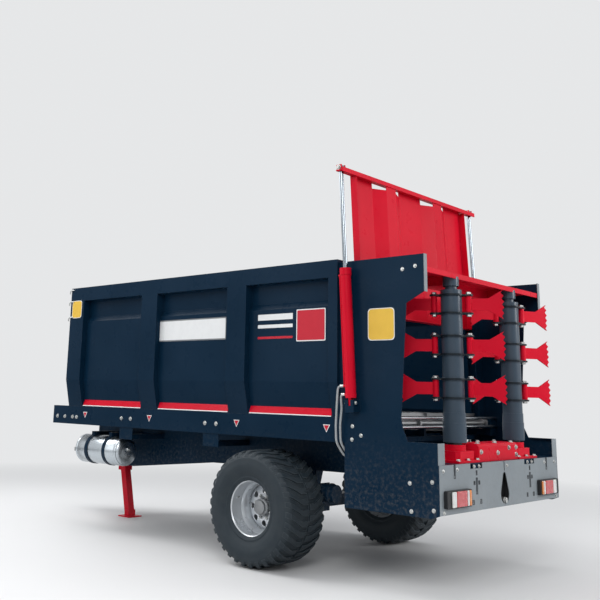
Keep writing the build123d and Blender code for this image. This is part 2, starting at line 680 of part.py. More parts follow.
def make_axle():
    half = AXLE_SIZE / 2
    inner = WHEEL_Y - 230
    beam = block((-half, half), (-inner, inner), (TYRE_R - half, TYRE_R + half))
    for side in (-1, 1):
        low, high = sorted((side * inner, side * (WHEEL_Y + 60)))
        beam = beam + rod_y(0, (low, high), TYRE_R, SPINDLE_R)
        low, high = sorted((side * (RAIL_Y - 50), side * (RAIL_Y + 50)))
        stand = slab_xz([(-180, RAIL_MID_BELLY + 22), (-120, TYRE_R + half), (120, TYRE_R + half),
                         (180, RAIL_MID_BELLY + 22)], low, high)
        beam = beam + stand
    rail = slab_xz(rail_outline(), RAIL_Y - 60, RAIL_Y + 60)
    keep("axle_beam", beam - rail - other_side(rail))

    # Brake chamber on its arm, push rod and lever
    top = TYRE_R + half
    arm = block((-372, -half), (560, 584), (TYRE_R - 20, TYRE_R + 30))
    plate = block((-372, -364), (560, 700), (TYRE_R - 20, BRAKE_Z + 80))
    can = rod_x((-500, -372), BRAKE_Y, BRAKE_Z, 74) + rod_x((-455, -440), BRAKE_Y, BRAKE_Z, 84)
    push = rod_x((-364, -34), BRAKE_Y, BRAKE_Z, 9)
    lever = block((-40, -20), (BRAKE_Y - 18, BRAKE_Y + 18), (top, BRAKE_Z + 25))
    keep_both_sides("brake_gear", arm + plate + can + push + lever)


def make_wheels():
    """Turned sections are (radius, distance out from the wheel's middle)."""
    axis = Axis((0, 0, TYRE_R), (0, 1, 0))
    plane = Plane(origin=(0, WHEEL_Y, TYRE_R), x_dir=(1, 0, 0), z_dir=(0, 0, 1))

    def turned(points):
        return revolve(plane * make_face(Polyline(*points, close=True)), axis=axis)

    w = TYRE_WIDTH / 2
    bead = RIM_WIDTH / 2 - 10
    seat = RIM_R - 14
    tyre = turned([(seat, -bead), (RIM_R + 24, -bead), (TYRE_R - 110, -w), (TYRE_R - 55, -w), (TYRE_R, -w + 70),
                   (TYRE_R, w - 70), (TYRE_R - 55, w), (TYRE_R - 110, w), (RIM_R + 24, bead), (seat, bead)])
    keep_pair("tyre", tyre)
    # Rim barrel, dished disc and hub as one wheel: outside line, then the same line back
    half = RIM_WIDTH / 2
    t = RIM_WALL
    well = seat - 26
    outside = [(RIM_R, half), (seat, half - 10), (seat, 95), (well, 70), (well, -60), (seat, -85), (seat, 10 - half), (RIM_R, -half)]
    rim = turned(outside + [(r - t, y) for r, y in outside[::-1]])
    disc = turned([(well - 4, -6), (132, DISC_OUT), (NOSE_R + SEAT, DISC_OUT), (NOSE_R + SEAT, DISC_OUT - t), (130, DISC_OUT - t), (well - 4, -16)])
    keep_pair("wheel_rim", rim + disc)
    bore = SPINDLE_R + RUN_GAP
    back = DISC_OUT - t - SEAT
    hub = turned([(bore, -60), (HUB_R, -60), (HUB_R, back), (NOSE_R, back), (NOSE_R, 62), (56, 70), (56, 92),
                  (20, 100), (0, 100), (0, 82), (bore, 82)])
    keep_pair("wheel_hub", hub)


def make_drawbar():
    top = DRAW_BOTTOM + DRAW_DEPTH
    tip = EYE_X - 150
    arm_line = [(RAIL_FRONT, DRAW_HALF_ROOT + DRAW_ARM / 2), (RAIL_FRONT, DRAW_HALF_ROOT - DRAW_ARM / 2),
                (tip - 260, 0), (tip, 0), (tip, 45)]
    left = slab_xy(arm_line, DRAW_BOTTOM, top)
    bars = left + other_side(left)
    plate = block((RAIL_FRONT, RAIL_FRONT + 20), (-520, 520), (DRAW_BOTTOM, 900))
    cross = block((JACK_X - 60, JACK_X + 140), (-340, 340), (DRAW_BOTTOM, top))
    hole = rod_x((RAIL_FRONT - 1, RAIL_FRONT + 30), 0, DRIVE_Z, DRIVE_R + 20)
    keep("drawbar", bars + plate + cross - hole)
    z = DRAW_BOTTOM + DRAW_DEPTH / 2
    eye = rod_z(EYE_X, 0, (z - EYE_THICK / 2, z + EYE_THICK / 2), EYE_R)
    eye = eye + block((tip, EYE_X - 20), (-40, 40), (z - EYE_THICK / 2, z + EYE_THICK / 2))
    eye = eye - rod_z(EYE_X, 0, (z - 50, z + 50), EYE_BORE_R)
    keep("towing_eye", eye)


def make_jack():
    """Leg at its parked lean: its foot stands behind the pivot, so the load holds it on its stop."""
    half = JACK_TUBE / 2
    bracket = block((JACK_X - 60, JACK_X + 60), (half + 1, half + 13), (JACK_Z - 45, DRAW_BOTTOM))
    pin = rod_y(JACK_X, (-half - 30, half + 30), JACK_Z, PIN_R)
    keep("jack_bracket", bracket + other_side(bracket) + pin)
    lean = radians(JACK_LEAN)
    tube = block((-half, half), (-half, half), (-JACK_Z / cos(lean) - half, 32))
    tube = tube - rod_y(0, (-half - 5, half + 5), 0, PIN_R + SEAT)
    leg = Pos(JACK_X, 0, JACK_Z) * Rot(0, JACK_LEAN, 0) * tube
    leg = leg - block((JACK_X - 900, JACK_X + 900), (-200, 200), (-200, FOOT_PLATE))
    foot_x = JACK_X - JACK_Z * sin(lean) / cos(lean)
    f = FOOT_SIZE / 2
    foot = block((foot_x - f, foot_x + f), (-f, f), (0, FOOT_PLATE))
    ear = block((foot_x - 34, foot_x + 40), (half, half + 9), (FOOT_PLATE, FOOT_PLATE + 62))
    keep("jack_leg", leg + foot + ear + other_side(ear))


def make_tank():
    """Turned tank with domed ends, lying along the machine; two hoops hold it under the rail's arms."""
    half = TANK_LENGTH / 2
    dome = [(0.0, 0.0), (0.62, 14.0), (0.9, 42.0), (1.0, 82.0)]
    end = [(share * TANK_R, half - back) for share, back in dome]
    line = end + [(r, -y) for r, y in end[::-1]]
    body = revolve(make_face(Polyline(*line, close=True)), axis=Axis.Y)
    keep("air_tank", Pos(TANK_REAR + half, TANK_Y, TANK_Z) * Rot(0, 0, -90) * body)
    straps = []
    for x in (TANK_REAR + 230, TANK_REAR + 520):
        ends = (x - 22, x + 22)
        around = rod_x((x - 30, x + 30), TANK_Y, TANK_Z, TANK_R + SEAT)
        ring = rod_x(ends, TANK_Y, TANK_Z, TANK_R + 6)
        arm = block(ends, (RAIL_Y + RAIL_WIDTH / 2, TANK_Y + 60), (TANK_Z + TANK_R - 10, TANK_Z + TANK_R + 35))
        straps.append(ring + arm - around)
    keep_apart("tank_straps", *straps)


def make_drive():
    shaft = rod_x((REAR_BOX[1] + SEAT, RAIL_FRONT + 30), 0, DRIVE_Z, DRIVE_R)
    stub = rod_x((RAIL_FRONT + 30, RAIL_FRONT + 120), 0, DRIVE_Z, INPUT_R)
    keep("drive_shaft", shaft + stub)


def chain_end(x, turn, y, half):
    """Half turn of a chain round its toothed shaft, in flat links. turn = 1 at the front, -1 at the tail."""
    inner = FLOOR_TOP - SHAFT_Z
    outer = inner + CHAIN_THICK
    link = 180 / END_LINKS
    corner = 1 / cos(radians(link / 2))
    lines = []
    for radius in (inner + SEAT, outer):
        line = [(x, SHAFT_Z - radius)]
        for i in range(1, END_LINKS):
            angle = radians(-90 + i * link)
            line.append((x + turn * radius * corner * cos(angle), SHAFT_Z + radius * corner * sin(angle)))
        line.append((x, SHAFT_Z + radius))
        lines.append(line)
    return slab_xz(lines[0] + lines[1][::-1], y - half, y + half)


def strand(y):
    """One chain as a closed loop: links are the wide teeth of a strip, seen from above."""
    half, neck = CHAIN_WIDTH / 2, CHAIN_WIDTH / 4
    count = int((FRONT_SHAFT_X - TAIL_SHAFT_X) / CHAIN_PITCH)
    pitch = (FRONT_SHAFT_X - TAIL_SHAFT_X) / count
    edge = []
    for i in range(count):
        x = TAIL_SHAFT_X + i * pitch
        edge += [(x, neck), (x + pitch * 0.12, neck), (x + pitch * 0.12, half), (x + pitch * 0.88, half), (x + pitch * 0.88, neck)]
    edge.append((FRONT_SHAFT_X, neck))
    outline = [(x, y + w) for x, w in edge] + [(x, y - w) for x, w in edge[::-1]]
    t = CHAIN_THICK
    loop = slab_xy(outline, FLOOR_TOP + SEAT, FLOOR_TOP + t)
    low = 2 * SHAFT_Z - FLOOR_TOP
    loop = loop + slab_xy(outline, low - t, low - SEAT)
    return loop + chain_end(TAIL_SHAFT_X, -1, y, neck) + chain_end(FRONT_SHAFT_X, 1, y, neck)


def slat(x, up):
    """Angle bar across two strands, on the upper run (up = 1) or hanging from the lower one (up = -1)."""
    low = SHAFT_Z + up * (FLOOR_TOP - SHAFT_Z + 2)
    high = low + up * SLAT_DEPTH
    foot = block((x - SLAT_WIDTH / 2, x + SLAT_WIDTH / 2), SLAT_REACH, tuple(sorted((low, low + up * 8))))
    return foot + block((x - 4, x + 4), SLAT_REACH, tuple(sorted((low, high))))


def make_floor_gear():
    """Chain-and-slat floor: four strands, slats in two rows, a toothed shaft at the tail and one at the front."""
    row = strand(STRANDS[0]) + strand(STRANDS[1])
    count = int((COVER_FOOT - TAIL_SHAFT_X - 150) / SLAT_PITCH) + 1
    for i in range(count):
        row = row + slat(TAIL_SHAFT_X + 90 + i * SLAT_PITCH, 1)
        if i < count - 1:
            row = row + slat(TAIL_SHAFT_X + 90 + (i + 0.5) * SLAT_PITCH, -1)
    keep_both_sides("floor_chains", row)
    shafts = []
    for x, reach in ((TAIL_SHAFT_X, CHEEK_IN), (FRONT_SHAFT_X, SILL_OUT - SILL_DEPTH)):
        shaft = rod_y(x, (-reach, reach), SHAFT_Z, SHAFT_R)
        for y in (-STRANDS[0], -STRANDS[1], STRANDS[1], STRANDS[0]):
            shaft = shaft + rod_y(x, (y - 14, y + 14), SHAFT_Z, FLOOR_TOP - SHAFT_Z - TOOTH_GAP)
        shafts.append(shaft)
    keep_apart("floor_shafts", *shafts)


make_body()
make_sills()
make_chassis()
make_deck()
make_cheeks()
make_guides()
make_gate()
make_cylinders()
make_top_beam()
make_beaters()
make_gearboxes()
make_lamps()
make_axle()
make_wheels()
make_drawbar()
make_jack()
make_tank()
make_drive()
make_floor_gear()

whole = Compound(children=[Compound(piece.solids()) for piece in nodes.values()])
span = whole.bounding_box()
shift = -(span.min.X + span.max.X) / 2
print("shift of X", round(shift, 3), "size", [round(v, 1) for v in span.size])
for name, piece in nodes.items():
    solids = [Pos(shift, 0, 0) * solid for solid in piece.solids()]
    export_step(solids[0] if len(solids) == 1 else Compound(children=solids), f"parts/{name}.step")
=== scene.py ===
"""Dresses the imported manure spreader: finishes for every CAD node, treaded tyres, wheels,
air tank, lamps, fasteners, hoses, blank plates, and a plain studio round it."""
import json
import math

import bmesh
import bpy
import numpy as np
from bpy.props import FloatProperty, FloatVectorProperty, IntProperty, PointerProperty
from mathutils import Matrix, Vector


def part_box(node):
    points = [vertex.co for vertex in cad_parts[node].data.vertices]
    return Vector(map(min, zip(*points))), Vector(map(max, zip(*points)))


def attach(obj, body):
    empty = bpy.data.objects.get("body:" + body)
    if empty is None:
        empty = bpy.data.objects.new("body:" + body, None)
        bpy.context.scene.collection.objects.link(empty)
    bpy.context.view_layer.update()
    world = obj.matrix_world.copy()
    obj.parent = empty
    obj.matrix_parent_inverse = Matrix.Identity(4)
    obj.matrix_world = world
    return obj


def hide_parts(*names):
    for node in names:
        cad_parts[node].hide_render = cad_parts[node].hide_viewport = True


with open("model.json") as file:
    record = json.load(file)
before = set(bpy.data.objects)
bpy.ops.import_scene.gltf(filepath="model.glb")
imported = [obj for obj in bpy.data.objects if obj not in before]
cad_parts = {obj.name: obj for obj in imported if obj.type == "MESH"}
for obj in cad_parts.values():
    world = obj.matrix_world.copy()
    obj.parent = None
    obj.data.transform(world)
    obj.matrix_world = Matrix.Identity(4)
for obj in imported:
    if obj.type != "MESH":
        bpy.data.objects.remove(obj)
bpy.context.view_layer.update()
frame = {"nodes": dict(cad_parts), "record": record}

bl_info = {
    "name": "Manure spreader dressing",
    "version": (1, 0, 0),
    "blender": (4, 5, 0),
    "location": "3D View > Sidebar > Spreader",
    "description": "Finishes and fine pieces for a trailed manure spreader with vertical beaters",
    "category": "Object",
}

# Places read from the CAD frame, in metres
TYRE_LOW, TYRE_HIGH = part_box("tyre_left")
AXLE_X = (TYRE_LOW.x + TYRE_HIGH.x) / 2
WHEEL_Y = (TYRE_LOW.y + TYRE_HIGH.y) / 2
WHEEL_Z = (TYRE_LOW.z + TYRE_HIGH.z) / 2
TYRE_R = (TYRE_HIGH.z - TYRE_LOW.z) / 2
TYRE_HALF = (TYRE_HIGH.y - TYRE_LOW.y) / 2

TURN = 2 * math.pi
SIDES = (1, -1)

# Finishes by the name of a slot or of a small part, filled by the first operator
FINISH = {}


def at(x):
    """X in the frame of a place given from the axle."""
    return x + AXLE_X


# Places of the CAD part given from the axle: cheek plates, rear deck, beaters' axes and levels
CHEEK_OUT = 1.030
CHEEK_TOP = 2.490
DECK_TOP = 0.930
DECK_REAR = -1.700
BEATER_X, BEATER_Y = -1.548, 0.510
LEVELS = (1.486, 1.824, 2.151)

# Gate and cylinders lean forward at the top about this line
LEAN = math.radians(3.0)
LEAN_X, LEAN_Z = -0.895, CHEEK_TOP


def leaned(x, y, z):
    """Place in the frame of an upright place of the gate or its cylinders, given from the axle."""
    dx, dz = x - LEAN_X, z - LEAN_Z
    return (at(LEAN_X + dx * math.cos(LEAN) + dz * math.sin(LEAN)), y,
            LEAN_Z - dx * math.sin(LEAN) + dz * math.cos(LEAN))


# Mesh making


def new_piece(name, verts, faces, body, slot, finish=None, angle=35.0, merge=False):
    """Puts vertices and faces into a mesh piece at the origin, faces outward, and rides it on a body.
    Its finish is the slot's own unless another is named."""
    mesh = bpy.data.meshes.new(name)
    mesh.from_pydata(np.asarray(verts, float).reshape(-1, 3).tolist(), [], [list(map(int, f)) for f in faces])
    work = bmesh.new()
    work.from_mesh(mesh)
    if merge:
        bmesh.ops.remove_doubles(work, verts=work.verts, dist=1e-6)
        bmesh.ops.dissolve_degenerate(work, edges=work.edges, dist=1e-7)
    bmesh.ops.recalc_face_normals(work, faces=work.faces)
    work.to_mesh(mesh)
    work.free()
    mesh.polygons.foreach_set("use_smooth", np.ones(len(mesh.polygons), bool))
    mesh.set_sharp_from_angle(angle=math.radians(angle))
    piece = bpy.data.objects.new(name, mesh)
    bpy.context.scene.collection.objects.link(piece)
    mesh.materials.append(FINISH[finish or slot])
    if body:
        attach(piece, body)
    return piece


def joined(parts):
    """Several (vertices, faces) as one: each part's faces count on from the vertices before it."""
    verts, faces, count = [], [], 0
    for part_verts, part_faces in parts:
        part_verts = np.asarray(part_verts, float).reshape(-1, 3)
        verts.append(part_verts)
        faces += [[k + count for k in face] for face in part_faces]
        count += len(part_verts)
    return np.vstack(verts), faces


def round_edges(piece, width):
    """Rounds the piece's edges."""
    edge = piece.modifiers.new("round", "BEVEL")
    edge.width = width
    edge.segments = 2


def grid_faces(rows, columns, wrap_rows=False, wrap_columns=False):
    """Quads of a grid of rows by columns, each wrapped round on itself where asked."""
    r = np.arange(rows if wrap_rows else rows - 1)
    c = np.arange(columns if wrap_columns else columns - 1)
    r, c = np.meshgrid(r, c, indexing="ij")
    r2, c2 = (r + 1) % rows, (c + 1) % columns
    quads = np.stack([r * columns + c, r2 * columns + c, r2 * columns + c2, r * columns + c2], axis=-1)
    return quads.reshape(-1, 4).tolist()


def sleeve_faces(rows, corners):
    """Quads between rings of corners, and a face over each end."""
    last = (rows - 1) * corners
    return grid_faces(rows, corners, False, True) + [list(range(corners))[::-1], list(range(last, last + corners))]


def smooth_line(points, steps):
    """Catmull-Rom curve through the points: each span is a cubic whose slopes follow its neighbours."""
    p = np.asarray(points, float)
    p = np.vstack([2 * p[0] - p[1], p, 2 * p[-1] - p[-2]])
    t = np.linspace(0, 1, steps, endpoint=False)[None, :, None]
    a, b, c, d = (p[i:len(p) - 3 + i, None, :] for i in range(4))
    spans = 0.5 * (2 * b + (c - a) * t + (2 * a - 5 * b + 4 * c - d) * t**2 + (3 * b - a - 3 * c + d) * t**3)
    return np.vstack([spans.reshape(-1, p.shape[1]), p[-2:-1]])


def turned_points(profile, segments, centre, axis="y"):
    """Profile of (radius, along) carried round an axis: a circle of that radius at that place along it."""
    profile = np.asarray(profile, float)
    turn = np.linspace(0, TURN, segments, endpoint=False)
    radius, along = profile[:, :1], profile[:, 1:]
    side, up = radius * np.cos(turn), radius * np.sin(turn)
    along = np.broadcast_to(along, side.shape)
    order = {"x": (along, side, up), "y": (side, along, up), "z": (side, up, along)}[axis]
    return np.stack(order, axis=-1) + np.asarray(centre, float)


def turned_piece(name, profile, segments, centre, axis, body, slot, angle=35.0):
    """Closed solid of revolution: the profile is a loop, or starts and ends on the axis."""
    points = turned_points(profile, segments, centre, axis)
    loop = profile[0][0] > 1e-6
    faces = grid_faces(len(profile), segments, loop, True)
    return new_piece(name, points, faces, body, slot, angle=angle, merge=True)


def frames_for(normals):
    """Two directions square to each normal and to each other, for whole arrays of normals."""
    n = np.asarray(normals, float)
    n = n / np.linalg.norm(n, axis=1, keepdims=True)
    helper = np.where(np.abs(n[:, 2:]) > 0.9, np.array([[1.0, 0, 0]]), np.array([[0, 0, 1.0]]))
    u = np.cross(helper, n)
    u = u / np.linalg.norm(u, axis=1, keepdims=True)
    return u, np.cross(n, u), n


def scattered(form, origins, normals, scale=1.0):
    """Copies of one small form: its own Z along each normal and its foot at each origin."""
    verts = np.asarray(form[0], float) * scale
    u, v, n = frames_for(normals)
    placed = (verts[None, :, :1] * u[:, None] + verts[None, :, 1:2] * v[:, None]
              + verts[None, :, 2:] * n[:, None] + np.asarray(origins, float)[:, None])
    return joined((copy, form[1]) for copy in placed)


def ring_stack(corners, rings):
    """Closed stack of rings: (radius, height) each, with the same number of corners, ends filled."""
    turn = np.linspace(0, TURN, corners, endpoint=False)
    radius, height = np.array(rings, float).T[:, :, None]
    verts = np.stack([radius * np.cos(turn), radius * np.sin(turn), height + 0 * turn], -1)
    return verts.reshape(-1, 3), sleeve_faces(len(rings), corners)


def hex_bolt():
    """Bolt head one unit across its flats with a washer: hexagon rings on a round disc."""
    return joined([ring_stack(6, [(0.56, 0.0), (0.577, 0.1), (0.577, 0.46), (0.5, 0.54), (0.2, 0.545)]),
                   ring_stack(16, [(0.82, -0.05), (0.84, 0.05), (0.8, 0.1)])])


def rounded_rectangle(width, height, radius, steps=5):
    """Rectangle about the origin with arcs for corners."""
    turn = np.linspace(0, math.pi / 2, steps)
    x, y = width / 2 - radius, height / 2 - radius
    corners = []
    for k, (sx, sy) in enumerate(((1, 1), (-1, 1), (-1, -1), (1, -1))):
        a = turn + k * math.pi / 2
        corners.append(np.c_[sx * x + radius * np.cos(a), sy * y + radius * np.sin(a)])
    return np.vstack(corners)


def rounded_path(points, reach, steps=7):
    """Straight runs joined by bends: each corner is a quadratic curve that starts and ends reach away."""
    p = np.asarray(points, float)
    line = [p[:1]]
    t = np.linspace(0, 1, steps)[:, None]
    for before, corner, after in zip(p[:-2], p[1:-1], p[2:]):
        back, ahead = before - corner, after - corner
        a, b = np.linalg.norm(back), np.linalg.norm(ahead)
        start = corner + back / a * min(reach, a * 0.45)
        end = corner + ahead / b * min(reach, b * 0.45)
        line.append((1 - t) ** 2 * start + 2 * t * (1 - t) * corner + t**2 * end)
    line.append(p[-1:])
    return np.vstack(line)


def tube_points(line, radius, corners):
    """Rings square to a line, each turned as little as possible from the last."""
    line = np.asarray(line, float)
    ahead = np.gradient(line, axis=0)
    ahead /= np.linalg.norm(ahead, axis=1, keepdims=True)
    u = np.cross(ahead[0], (0.3, 0.2, 0.93))
    rings = []
    turn = np.linspace(0, TURN, corners, endpoint=False)[:, None]
    radii = np.broadcast_to(np.asarray(radius, float), (len(line),))
    for place, way, size in zip(line, ahead, radii):
        u = u - way * (u @ way)
        u /= np.linalg.norm(u)
        v = np.cross(way, u)
        rings.append(place + size * (np.cos(turn) * u + np.sin(turn) * v))
    return np.array(rings)


def tubes(name, lines, radius, corners, body, slot, finish=None):
    """One piece of closed round tubes, one for each line; the radius is one, or one for each point."""
    parts = [(tube_points(line, radius, corners), sleeve_faces(len(line), corners)) for line in lines]
    return new_piece(name, *joined(parts), body, slot, finish, 40.0)


def beads(name, centres, radius, thickness, body, slot, steps=40, corners=6):
    """One piece of round beads, each laid along a level circle about its centre."""
    turn = np.linspace(0, TURN, corners, endpoint=False)
    section = np.c_[radius + thickness * np.cos(turn), thickness * np.sin(turn)]
    faces = grid_faces(steps, corners, True, True)
    parts = [(turned_points(section, steps, centre, "z").swapaxes(0, 1), faces) for centre in centres]
    return new_piece(name, *joined(parts), body, slot, angle=60.0)


def boxes(name, spans, body, slot, finish=None):
    """One piece of plain blocks: spans are (low corner, high corner)."""
    unit = np.array([(i, j, k) for i in (0, 1) for j in (0, 1) for k in (0, 1)])
    walls = ((0, 1, 3, 2), (4, 6, 7, 5), (0, 4, 5, 1), (2, 3, 7, 6), (0, 2, 6, 4), (1, 5, 7, 3))
    parts = [(np.where(unit, high, low), walls) for low, high in spans]
    return new_piece(name, *joined(parts), body, slot, finish)


def flat_panels(name, outline, places, thickness, body, slot, finish=None):
    """Thin plates of one outline, each in its own plane: (centre, direction across, direction up)."""
    outline = np.asarray(outline, float)
    verts = np.vstack([np.c_[outline, np.full(len(outline), depth)] for depth in (0.0, thickness)])
    faces = sleeve_faces(2, len(outline))
    parts = []
    for centre, across, up in places:
        across, up = (np.asarray(way, float) / np.linalg.norm(way) for way in (across, up))
        placed = verts[:, :1] * across + verts[:, 1:2] * up + verts[:, 2:] * np.cross(across, up)
        parts.append((placed + np.asarray(centre, float), faces))
    return new_piece(name, *joined(parts), body, slot, finish)


# Settings that a user would change


class SpreaderSettings(bpy.types.PropertyGroup):
    """Sizes and colours of the dressing."""

    navy: FloatVectorProperty(name="Body paint", description="Colour of the body and frame", subtype="COLOR",
                              size=3, min=0, max=1, default=(0.0025, 0.0180, 0.0410))
    red: FloatVectorProperty(name="Red paint", description="Colour of gate, beam and paddles", subtype="COLOR",
                             size=3, min=0, max=1, default=(0.64, 0.003, 0.022))
    plate_grey: FloatVectorProperty(name="Rear plate", description="Colour of the plate under the deck",
                                    subtype="COLOR", size=3, min=0, max=1, default=(0.23, 0.26, 0.28))
    slate: FloatVectorProperty(name="Beater columns", description="Colour of the beater tubes", subtype="COLOR",
                               size=3, min=0, max=1, default=(0.045, 0.068, 0.095))
    silver: FloatVectorProperty(name="Rims", description="Colour of the rims", subtype="COLOR", size=3,
                                min=0, max=1, default=(0.62, 0.65, 0.68))
    rubber: FloatVectorProperty(name="Tyres", description="Colour of the tyre rubber", subtype="COLOR", size=3,
                                min=0, max=1, default=(0.012, 0.021, 0.029))
    lug_height: FloatProperty(name="Tread depth", description="Height of the tyre blocks", unit="LENGTH",
                              default=0.018, min=0.005, max=0.04)
    lug_count: IntProperty(name="Tread pitches", description="Blocks round each tyre", default=34, min=12,
                           max=60)
    bolt_size: FloatProperty(name="Bolt size", description="Width of a frame bolt across its flats",
                             unit="LENGTH", default=0.024, min=0.01, max=0.05)
    floor_tone: FloatProperty(name="Floor", description="Brightness of the floor", default=0.78, min=0, max=1)


def settings():
    """The settings kept on the scene."""
    return bpy.context.scene.spreader


# Finishes


class Nodes:
    """Short way to write a node tree: each call adds a node, sets plain inputs and links the others."""

    def __init__(self, owner):
        owner.use_nodes = True
        self.owner, self.tree = owner, owner.node_tree
        self.tree.nodes.clear()

    def add(self, kind, inputs=(), **settings_of_node):
        """Adds one node."""
        node = self.tree.nodes.new(kind)
        for key, value in settings_of_node.items():
            setattr(node, key, value)
        for key, value in dict(inputs).items():
            if isinstance(value, bpy.types.NodeSocket):
                self.tree.links.new(value, node.inputs[key])
            else:
                node.inputs[key].default_value = value
        return node

    def noise(self, scale, detail=3.0, roughness=0.5, place=None):
        """Noise value over the object's own coordinates."""
        node = self.add("ShaderNodeTexNoise", {"Vector": place or self.place, "Scale": scale, "Detail": detail,
                                               "Roughness": roughness})
        return node.outputs["Fac"]

    def ramp(self, value, low, high, from_value=0.0, to_value=1.0):
        """Value stretched from low..high to another range, and held there."""
        node = self.add("ShaderNodeMapRange", {"Value": value, "From Min": low, "From Max": high,
                                               "To Min": from_value, "To Max": to_value})
        return node.outputs["Result"]

    def calc(self, operation, a, b):
        """One plain calculation."""
        return self.add("ShaderNodeMath", {0: a, 1: b}, operation=operation).outputs[0]

    def times(self, a, b):
        """Product of two values."""
        return self.calc("MULTIPLY", a, b)

    def mix(self, share, a, b):
        """Colour a turning into colour b by share."""
        a, b = (c if isinstance(c, bpy.types.NodeSocket) else tuple(c) + (1.0,) for c in (a, b))
        return self.add("ShaderNodeMix", {0: share, 6: a, 7: b}, data_type="RGBA").outputs[2]

    def blend(self, share, a, b):
        """Shader a turning into shader b by share."""
        return self.add("ShaderNodeMixShader", {0: share, 1: a.outputs[0], 2: b.outputs[0]})

    def finish(self, shader, output="ShaderNodeOutputMaterial"):
        """Joins the shader to the output and gives back the material or world."""
        self.add(output, {"Surface": shader.outputs[0]})
        return self.owner

    def height(self):
        """Height above the ground of the point, in metres."""
        return self.add("ShaderNodeSeparateXYZ", {0: self.place}).outputs["Z"]

    def soft_normal(self, radius):
        """Normal rounded over edges, and a mask of those edges."""
        bevel = self.add("ShaderNodeBevel", {"Radius": radius}, samples=4).outputs["Normal"]
        flat = self.add("ShaderNodeNewGeometry").outputs["Normal"]
        dot = self.add("ShaderNodeVectorMath", {0: bevel, 1: flat}, operation="DOT_PRODUCT").outputs["Value"]
        return bevel, self.ramp(dot, 0.995, 0.86)

    def bump(self, value, strength, distance, normal=None):
        """Normal tipped by a height."""
        inputs = {"Height": value, "Strength": strength, "Distance": distance}
        if normal is not None:
            inputs["Normal"] = normal
        return self.add("ShaderNodeBump", inputs).outputs["Normal"]


def material_nodes(name):
    """Emptied node tree of a material, with the object's own coordinates at hand."""
    n = Nodes(bpy.data.materials.get(name) or bpy.data.materials.new(name))
    n.place = n.add("ShaderNodeTexCoord").outputs["Object"]
    return n


def darker(colour, share):
    """The colour at a share of its brightness."""
    return tuple(c * share for c in colour)


def toward(colour, other, share):
    """A colour part of the way to another."""
    return tuple(c + (o - c) * share for c, o in zip(colour, other))


WHITE = (1.0, 1.0, 1.0)
DUST = (0.16, 0.15, 0.135)
STAIN = (0.11, 0.085, 0.06)
BARE_EDGE = (0.5, 0.5, 0.5)

# Heights above the ground between which dust builds up, and radii of the softened edges, in metres
DUST_HEIGHTS = (1.15, 0.35)
PAINT_EDGE = 0.003
METAL_EDGE = 0.0015
RUBBER_EDGE = 0.004

# Ribs of a lamp lens in a metre
LENS_RIBS = 900.0


def paint(name, colour, rough, coat=0.15, shine=0.16, dust=0.5, wear=0.35):
    """Sprayed paint: slow tone drift, fine orange peel, dust low down, and worn edges."""
    n = material_nodes(name)
    drift = n.ramp(n.noise(1.7, 4.0), 0.3, 0.7)
    base = n.mix(drift, darker(colour, 0.86), toward(colour, WHITE, 0.003))
    low = n.ramp(n.height(), *DUST_HEIGHTS)
    speck = n.ramp(n.noise(34.0, 8.0, 0.65), 0.48, 0.72)
    dirty = n.times(n.times(low, speck), dust)
    base = n.mix(dirty, base, DUST)
    normal, edges = n.soft_normal(PAINT_EDGE)
    scuff = n.ramp(n.noise(60.0, 6.0, 0.7), 0.5, 0.62)
    worn = n.times(n.times(edges, scuff), wear)
    base = n.mix(worn, base, toward(colour, BARE_EDGE, 0.45))
    streak = n.ramp(n.noise(9.0, 5.0), 0.35, 0.75, rough - 0.05, rough + 0.1)
    roughness = n.calc("ADD", streak, n.times(dirty, 0.4))
    peel = n.noise(420.0, 2.0)
    return n.finish(n.add("ShaderNodeBsdfPrincipled", {
        "Base Color": base, "Roughness": roughness, "Coat Weight": coat, "Coat Roughness": 0.12,
        "Specular IOR Level": shine, "Normal": n.bump(peel, 0.05, 0.0006, normal)}))


def metal(name, colour, rough, brushed=(1.0, 1.0, 60.0), stain=0.25, metallic=1.0):
    """Bare metal: brush lines along one direction, stains in patches, and a little tarnish."""
    n = material_nodes(name)
    lines_place = n.add("ShaderNodeMapping", {"Vector": n.place, "Scale": brushed}).outputs["Vector"]
    lines = n.noise(6.0, 8.0, 0.7, lines_place)
    patch = n.ramp(n.noise(5.0, 7.0, 0.65), 0.52, 0.78)
    base = n.mix(n.ramp(lines, 0.3, 0.7), darker(colour, 0.82), colour)
    base = n.mix(n.times(patch, stain), base, STAIN)
    normal, _ = n.soft_normal(METAL_EDGE)
    roughness = n.ramp(lines, 0.3, 0.7, rough * 0.75, rough * 1.35)
    roughness = n.calc("ADD", roughness, n.times(patch, stain * 0.6))
    return n.finish(n.add("ShaderNodeBsdfPrincipled", {
        "Base Color": base, "Roughness": roughness, "Metallic": metallic,
        "Normal": n.bump(lines, 0.06, 0.0004, normal)}))


def rubber(name, colour):
    """Tyre rubber: dark and dull, with pale patches, and edges made paler and bluish as rubbing and as a painted
    highlight.
    """
    n = material_nodes(name)
    grain = n.noise(260.0, 4.0)
    patch = n.ramp(n.noise(11.0, 6.0, 0.6), 0.42, 0.75)
    base = n.mix(n.times(patch, 0.5), colour, toward(colour, (0.16, 0.17, 0.17), 0.22))
    normal, edges = n.soft_normal(RUBBER_EDGE)
    # painted highlight: block edges turned paler and bluish for the light they catch, besides rubbing
    base = n.mix(n.times(edges, 0.7), base, toward(colour, (0.24, 0.28, 0.30), 0.4))
    return n.finish(n.add("ShaderNodeBsdfPrincipled", {
        "Base Color": base, "Roughness": n.ramp(patch, 0.0, 1.0, 0.58, 0.8), "Specular IOR Level": 0.35,
        "Normal": n.bump(grain, 0.12, 0.0008, normal)}))


